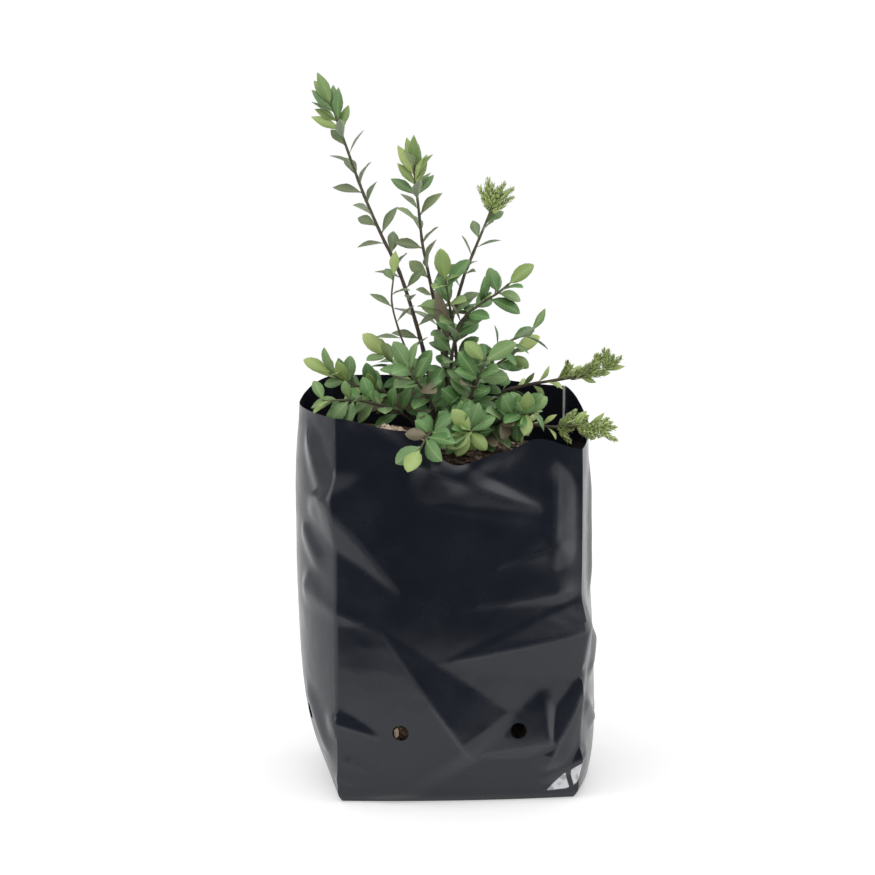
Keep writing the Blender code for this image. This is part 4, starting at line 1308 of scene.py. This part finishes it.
# %% Flake forms
FLAKE_DARK = colour(66, 50, 40)
FLAKE_PALE = colour(226, 204, 178)
FLAKE_FORMS = 3
FLAKE_CORNERS = 7


def make_flake_material():
    material, tree, shader = new_material("bark_flakes", 0.9)
    base = mix_colours(tree, attribute(tree, "tint"), FLAKE_DARK, FLAKE_PALE)
    streaks = calc(tree, "MULTIPLY", grain(tree, 500, 4, 2.2), 0.4)
    feed(tree, shader.inputs["Base Color"], mix_colours(tree, streaks, base, MIX_DARK))
    bump(tree, shader, grain(tree, 700, 4, 1.5), 0.5, 0.0003)
    return material


def make_flake_form(number, collection):
    """A thin uneven slab, one unit long along Y."""
    draw = random.Random(number)
    corners = FLAKE_CORNERS
    turns = [2 * math.pi * (k + draw.uniform(-0.25, 0.25)) / corners for k in range(corners)]
    outline = [(0.25 * math.cos(a) * draw.uniform(0.8, 1.2), 0.5 * math.sin(a) * draw.uniform(0.8, 1.2))
               for a in turns]
    verts = [(x, y, level + 0.2 * y * y) for level in (0.05, -0.05) for x, y in outline]
    upper, lower = list(range(corners)), list(range(corners, 2 * corners))
    faces = [tuple(upper), tuple(reversed(lower))] + ring_faces(lower, upper)
    mesh = bpy.data.meshes.new(f"flake_form_{number}")
    mesh.from_pydata(verts, [], faces)
    collection.objects.link(bpy.data.objects.new(mesh.name, mesh))


flake_forms = bpy.data.collections.new("flake_forms")
for number in range(FLAKE_FORMS):
    make_flake_form(number, flake_forms)

# %% Flakes on the mix
# Millimetres: the middle of a patch, how far its flakes scatter and how long they are. The last number
# is the share of pale flakes.
Patch = namedtuple("Patch", "count x y reach_x reach_y length pale")
PATCHES = [
    Patch(190, 0, 0, 30, 19, 4.5, 0.12),
    Patch(110, -38, -41, 14, 3.5, 6.0, 0.85),
    Patch(26, 2, -40, 8, 4, 6.0, 0.08),
]
DROP_HEIGHT = 260  # millimetres, where a flake starts to fall
FLAKE_CLEARANCE = 0.5  # of its length, between a flake's middle and the film
FLAKE_LIFT = 0.0006
HOLE_FLAKE = (-33, 40)  # x and z in millimetres
HOLE_FLAKE_LENGTH = 5.5
HOLE_FLAKE_LIFT = 0.0004


def flakes_on_mix():
    """Where each flake lies, with its rotation, size and colour."""
    draw = random.Random(8)
    places, columns = [], {"turned": [], "sized": [], "form": [], "tint": []}

    def lay(start, way, length, tint, tilt):
        place, normal = mix_wall.ray_cast(Vector(start) * MM, Vector(way))[:2]
        if place is None or film_wall.find_nearest(place)[3] < length * FLAKE_CLEARANCE * MM:
            return
        turn = Vector(way).to_track_quat("-Z", "Y").to_matrix()
        turn = turn @ Matrix.Rotation(draw.uniform(0, 2 * math.pi), 3, "Z")
        turn = turn @ Matrix.Rotation(math.radians(draw.uniform(-tilt, tilt)), 3, "X")
        places.append(place - Vector(way) * FLAKE_LIFT)
        columns["turned"].extend(turn.to_euler())
        columns["sized"].extend([length * MM] * 3)
        columns["form"].append(draw.randrange(FLAKE_FORMS))
        columns["tint"].append(tint)

    for patch in PATCHES:
        for _ in range(patch.count):
            x, y = patch.x + draw.gauss(0, patch.reach_x), patch.y + draw.gauss(0, patch.reach_y)
            pale = draw.uniform(0.6, 1.0) if draw.random() < patch.pale else draw.uniform(0, 0.2)
            lay((x, y, DROP_HEIGHT), (0, 0, -1), patch.length * draw.uniform(0.5, 1.3), pale, 32)
    hole_x, hole_z = HOLE_FLAKE
    mix_front = mix_wall.ray_cast(Vector((hole_x, -150, hole_z)) * MM, Vector((0, 1, 0)))[0]
    places.append(mix_front - Vector((0, HOLE_FLAKE_LIFT, 0)))
    columns["turned"].extend((math.radians(90), 0.0, 0.0))
    columns["sized"].extend([HOLE_FLAKE_LENGTH * MM] * 3)
    columns["form"].append(0)
    columns["tint"].append(0.7)
    return places, columns


flake_places, flake_columns = flakes_on_mix()
mix = with_forms(loose_points(flake_places, flake_columns), flake_forms, make_flake_material(), mix, "mix")
finish_piece(mix, "potting_mix", "potting_mix")
print("flakes:", len(flake_places), "faces on the mix:", len(mix.data.polygons))

# %% [markdown]
# ## More leaves than the solids hold
#
# The leaves of the solids are the skeleton of the clump. Real shoots carry more: small young leaves
# crowd the tips, and more blades fill the middle of the clump. They are drawn by a like rule, and one
# that would pass through the film or the mix is left out.

# %% Extra leaves
# Start and stop are shares of the stem's length, between which this many more leaves grow.
NEXT_LEAF = 137.5  # degrees round the stem from one leaf to the next
Extra = namedtuple("Extra", "stem start stop count length width pitch light")
EXTRAS = [
    Extra("stem_right_low", 0.25, 1.0, 10, 14, 7.6, 60, 0.75),
    Extra("stem_arching_right", 0.2, 0.8, 6, 13, 6.0, 62, 0.6),
    Extra("stem_centre", 0.12, 1.0, 22, 16, 8.8, 64, 0.8),
    Extra("stem_front_left", 0.1, 1.0, 16, 16, 9.0, 66, 0.8),
    Extra("stem_front_right", 0.1, 1.0, 18, 16, 9.0, 66, 0.8),
    Extra("stem_right_front", 0.1, 1.0, 14, 15, 8.4, 64, 0.8),
    Extra("stem_right_back", 0.1, 1.0, 14, 15, 8.2, 62, 0.75),
    Extra("stem_front", 0.1, 1.0, 12, 14, 8.0, 60, 0.8),
    Extra("stem_front", 0.5, 1.0, 34, 15, 8.4, 92, 0.85),
    Extra("stem_front_right", 0.1, 0.5, 16, 15, 8.4, 88, 0.85),
    Extra("stem_right_front", 0.15, 0.9, 24, 15, 8.2, 94, 0.85),
    Extra("stem_back_left", 0.1, 1.0, 8, 15, 8.2, 60, 0.7),
    Extra("runner_left", 0.3, 1.0, 12, 14, 7.2, 58, 0.8),
    Extra("runner_left_low", 0.3, 1.0, 12, 14, 7.6, 60, 0.8),
    Extra("runner_front", 0.25, 0.75, 9, 14, 8.0, 78, 0.85),
]


def extra_leaves(stem, extra):
    draw = random.Random(f"{extra.stem} {extra.count}")
    leaves = []
    for index in range(extra.count):
        share = extra.start + (extra.stop - extra.start) * (index + draw.random()) / extra.count
        point, way, across, back, radius = stem.at(stem.length * share)
        azimuth = math.radians(NEXT_LEAF * index + draw.uniform(-20, 20))
        pitch = math.radians(extra.pitch + draw.uniform(-14, 14))
        outward = across * math.cos(azimuth) + back * math.sin(azimuth)
        leaf_way = way * math.cos(pitch) + outward * math.sin(pitch)
        light = Vector(LIGHT_WAY)
        light = (light - leaf_way * light.dot(leaf_way)).normalized()
        stem_side = (way - leaf_way * way.dot(leaf_way)).normalized()
        normal = (stem_side * (1 - extra.light) + light * extra.light).normalized()
        twist = math.radians(draw.uniform(-30, 30))
        normal = normal * math.cos(twist) + normal.cross(leaf_way) * math.sin(twist)
        scale = draw.uniform(0.72, 1.1)
        leaf = (point + outward * radius, leaf_way, normal, extra.length * MM * scale,
                extra.width * MM * scale, math.radians(draw.uniform(4, 30)))
        if not meets_wall(leaf):
            leaves.append((share, leaf))
    return leaves


# %% [markdown]
# ## Fans at the tips, and feathery sprays
#
# The two tall stems end in a fan of narrow young leaves, spread like a hand towards the viewer. The tip
# of the right stem and the ends of the two runners beside it are feathery: there each leaf is a thin
# finger with short needles all round it.

# %% Fans and sprays
# A fan spreads in the plane of the picture, from low to high degrees off the stem's way. One with
# needles is a spray: each of its leaves is a thin finger with short needles all round it.
Fan = namedtuple("Fan", "stem start count low high length width needles")
FANS = [
    Fan("stem_tall_left", 0.90, 8, -40, 52, 17, 5.6, 0),
    Fan("stem_middle", 0.86, 8, -48, 48, 17, 5.6, 0),
    Fan("stem_right", 0.95, 9, -36, 48, 15, 1.4, 24),
    Fan("runner_right", 0.66, 16, -10, 85, 10.5, 1.4, 20),
    Fan("runner_right_low", 0.64, 16, -50, 55, 10.5, 1.4, 20),
]
FAN_STEP = 5  # a fan's leaves are drawn in this order round it, so neighbours differ in depth
TO_CAMERA = Vector((-0.05, -0.98, 0.2))
NEEDLE_LENGTH = 4.2 * MM
NEEDLE_WIDTH = 0.5  # as a share of its length


def fan_leaves(stem, fan):
    draw = random.Random(f"{fan.stem} fan")
    leaves = []
    for index in range(fan.count):
        place = (index * FAN_STEP % fan.count + 0.5) / fan.count
        spread = math.radians(fan.low + (fan.high - fan.low) * place + draw.uniform(-6, 6))
        share = 1 - (1 - fan.start) * (abs(2 * place - 1) if not fan.needles else draw.random())
        point, way, across, back, radius = stem.at(stem.length * share)
        beside = TO_CAMERA.cross(way).normalized()
        leaf_way = way * math.cos(spread) + beside * math.sin(spread) + TO_CAMERA * draw.uniform(-0.3, 0.3)
        leaf_way.normalize()
        facing = TO_CAMERA + Vector(LIGHT_WAY)
        normal = (facing - leaf_way * leaf_way.dot(facing)).normalized()
        scale = draw.uniform(0.8, 1.1)
        leaf = (point, leaf_way, normal, fan.length * MM * scale, fan.width * MM * scale,
                math.radians(draw.uniform(4, 20)))
        if meets_wall(leaf):
            continue
        leaves.append((share, leaf))
        leaves += [(share, needle) for needle in needles_round(leaf, fan.needles)]
    return leaves


def needles_round(finger, count):
    base, way, normal, length, width, bend = finger
    side = normal.cross(way)
    needles = []
    for index in range(count):
        along = 0.1 + 0.9 * index / count
        turn = math.radians(NEXT_LEAF * index)
        outward = side * math.cos(turn) + normal * math.sin(turn)
        needle_way = (way + outward * 0.8).normalized()
        size = NEEDLE_LENGTH * (1.1 - 0.45 * along)
        needles.append((base + way * length * along, needle_way, (outward - way * 0.8).normalized(), size,
                        size * NEEDLE_WIDTH, bend))
    return needles


# %% [markdown]
# ## Every stem with its leaves
#
# A stem is a round tube, a little thicker at each leaf. Its leaves differ in shade: on the tall stems all
# but the tips are old and greyish, every tip is young and light, and a few leaves have dried. One piece
# is the tube with all its leaves, and it stands for the stem's solid.

# %% Stem tubes
STEM_SIDES = 8
STEM_RINGS = 46
NODE_SWELL = 0.22  # how much thicker a stem is where a leaf leaves it
NODE_REACH = 0.0012


def make_tube(stem, leaves):
    """The round stem from its root to its tip, a little thicker where a leaf leaves it."""
    point, way, across, back, radius = stem.at(0)
    root = point - Vector((0, 0, ROOT_DEPTH + PEG_STUB))
    rings = [(root, across, back, radius)]
    for n in range(STEM_RINGS + 1):
        share = n / STEM_RINGS
        point, way, across, back, radius = stem.at(stem.length * share)
        near = min((abs(share - place) for place, _ in leaves), default=1.0) * stem.length
        swell = 1.0 + NODE_SWELL * math.exp(-((near / NODE_REACH) ** 2))
        rings.append((point, across, back, radius * swell))
    verts, tints = [], []
    for n, (point, across, back, radius) in enumerate(rings):
        for k in range(STEM_SIDES):
            a = 2 * math.pi * k / STEM_SIDES
            verts.append(point + (across * math.cos(a) + back * math.sin(a)) * radius)
            tints.append(n / len(rings))
    numbers = np.arange(len(verts)).reshape(-1, STEM_SIDES).tolist()
    faces = [face for lower, upper in zip(numbers, numbers[1:]) for face in ring_faces(lower, upper)]
    faces += [tuple(reversed(numbers[0])), tuple(numbers[-1])]
    mesh = bpy.data.meshes.new("tube")
    mesh.from_pydata(verts, [], faces)
    attribute_on(mesh, "tint", tints)
    mesh.materials.append(STEM_BARK)
    mesh.shade_smooth()
    return bpy.data.objects.new("tube", mesh)


# %% Shades and forms of the leaves
STEM_TINTS = {
    "stem_tall_left": 0.42, "stem_thin_left": 0.35, "stem_middle": 0.5, "stem_right": 0.45,
    "runner_left": 0.62, "runner_left_low": 0.42, "runner_front": 0.3, "runner_right": 0.9,
    "runner_right_low": 0.9, "stem_front": 0.4, "stem_back_left": 0.55,
}
STEM_AGES = {"stem_tall_left": 0.85, "stem_thin_left": 0.7, "stem_middle": 0.75, "stem_right": 0.7}
DRY_SHARE = 0.04  # of the leaves have turned brown
DEAD_LEAF_STEM = "stem_centre"
DEAD_LEAF = (Vector((-0.003, -0.006, 0.240)), Vector((-0.24, -0.08, 0.97)).normalized(),
             Vector((-0.2, -0.97, -0.13)).normalized(), 0.028, 0.0075, math.radians(13))
NEEDLE_LONGEST = 1.2 * NEEDLE_LENGTH  # anything shorter than this is a needle
LANCE_BELOW = 0.44  # a leaf narrower than this share of its length is lance shaped


def form_of(length, width, bend):
    """The number of the form that is nearest to a leaf's shape."""
    if length < NEEDLE_LONGEST:
        return NEEDLE_FORM
    bends = [abs(math.degrees(bend) - b) for b in LEAF_BENDS]
    return bends.index(min(bends)) + len(LEAF_BENDS) * (width < LANCE_BELOW * length)


def leaf_columns(name, leaves):
    """The attributes of each leaf that the tree and the material read."""
    draw = random.Random(name)
    tint, age = STEM_TINTS.get(name, 0.4), STEM_AGES.get(name, 0.0)
    columns = {"turned": [], "sized": [], "form": [], "tint": [], "aged": [], "dry": []}
    for share, leaf in leaves:
        base, way, normal, length, width, bend = leaf
        columns["turned"].extend(Matrix((way.cross(normal), way, normal)).transposed().to_euler())
        columns["sized"].extend((width, length, length))
        columns["form"].append(form_of(length, width, bend))
        young = tint + 0.35 * max(0.0, share - 0.7) / 0.3 + draw.uniform(-0.24, 0.24)
        columns["tint"].append(1.0 if length < NEEDLE_LONGEST else min(1.0, max(0.0, young)))
        columns["aged"].append(age * min(1.0, max(0.0, (0.92 - share) / 0.25)) * draw.uniform(0.6, 1.0))
        dry = leaf is DEAD_LEAF or (share < 0.8 and draw.random() < DRY_SHARE)
        columns["dry"].append(0.9 * dry)
    return columns


# %% Leafy stems


def make_leafy_stem(stem):
    name = stem.shoot.name
    leaves = list(matched[name])
    for extra in EXTRAS:
        if extra.stem == name:
            leaves += extra_leaves(stem, extra)
    for fan in FANS:
        if fan.stem == name:
            leaves += fan_leaves(stem, fan)
    if name == DEAD_LEAF_STEM:
        leaves.append((0.5, DEAD_LEAF))
    points = loose_points([leaf[0] for _, leaf in leaves], leaf_columns(name, leaves))
    piece = with_forms(points, leaf_forms, LEAF_GREEN, make_tube(stem, leaves), "leafy_" + name)
    finish_piece(piece, "leafy_stem", name)
    return len(leaves), len(piece.data.polygons)


made = [make_leafy_stem(stem) for stem in stems]
print("leaves:", sum(m[0] for m in made), "faces on the clump:", sum(m[1] for m in made))

# %% [markdown]
# ## Clearing away the forms
#
# The forms aren't pieces of the object, so they are removed.

# %% Remove the forms
for form in list(leaf_forms.objects) + list(flake_forms.objects):
    bpy.data.objects.remove(form)
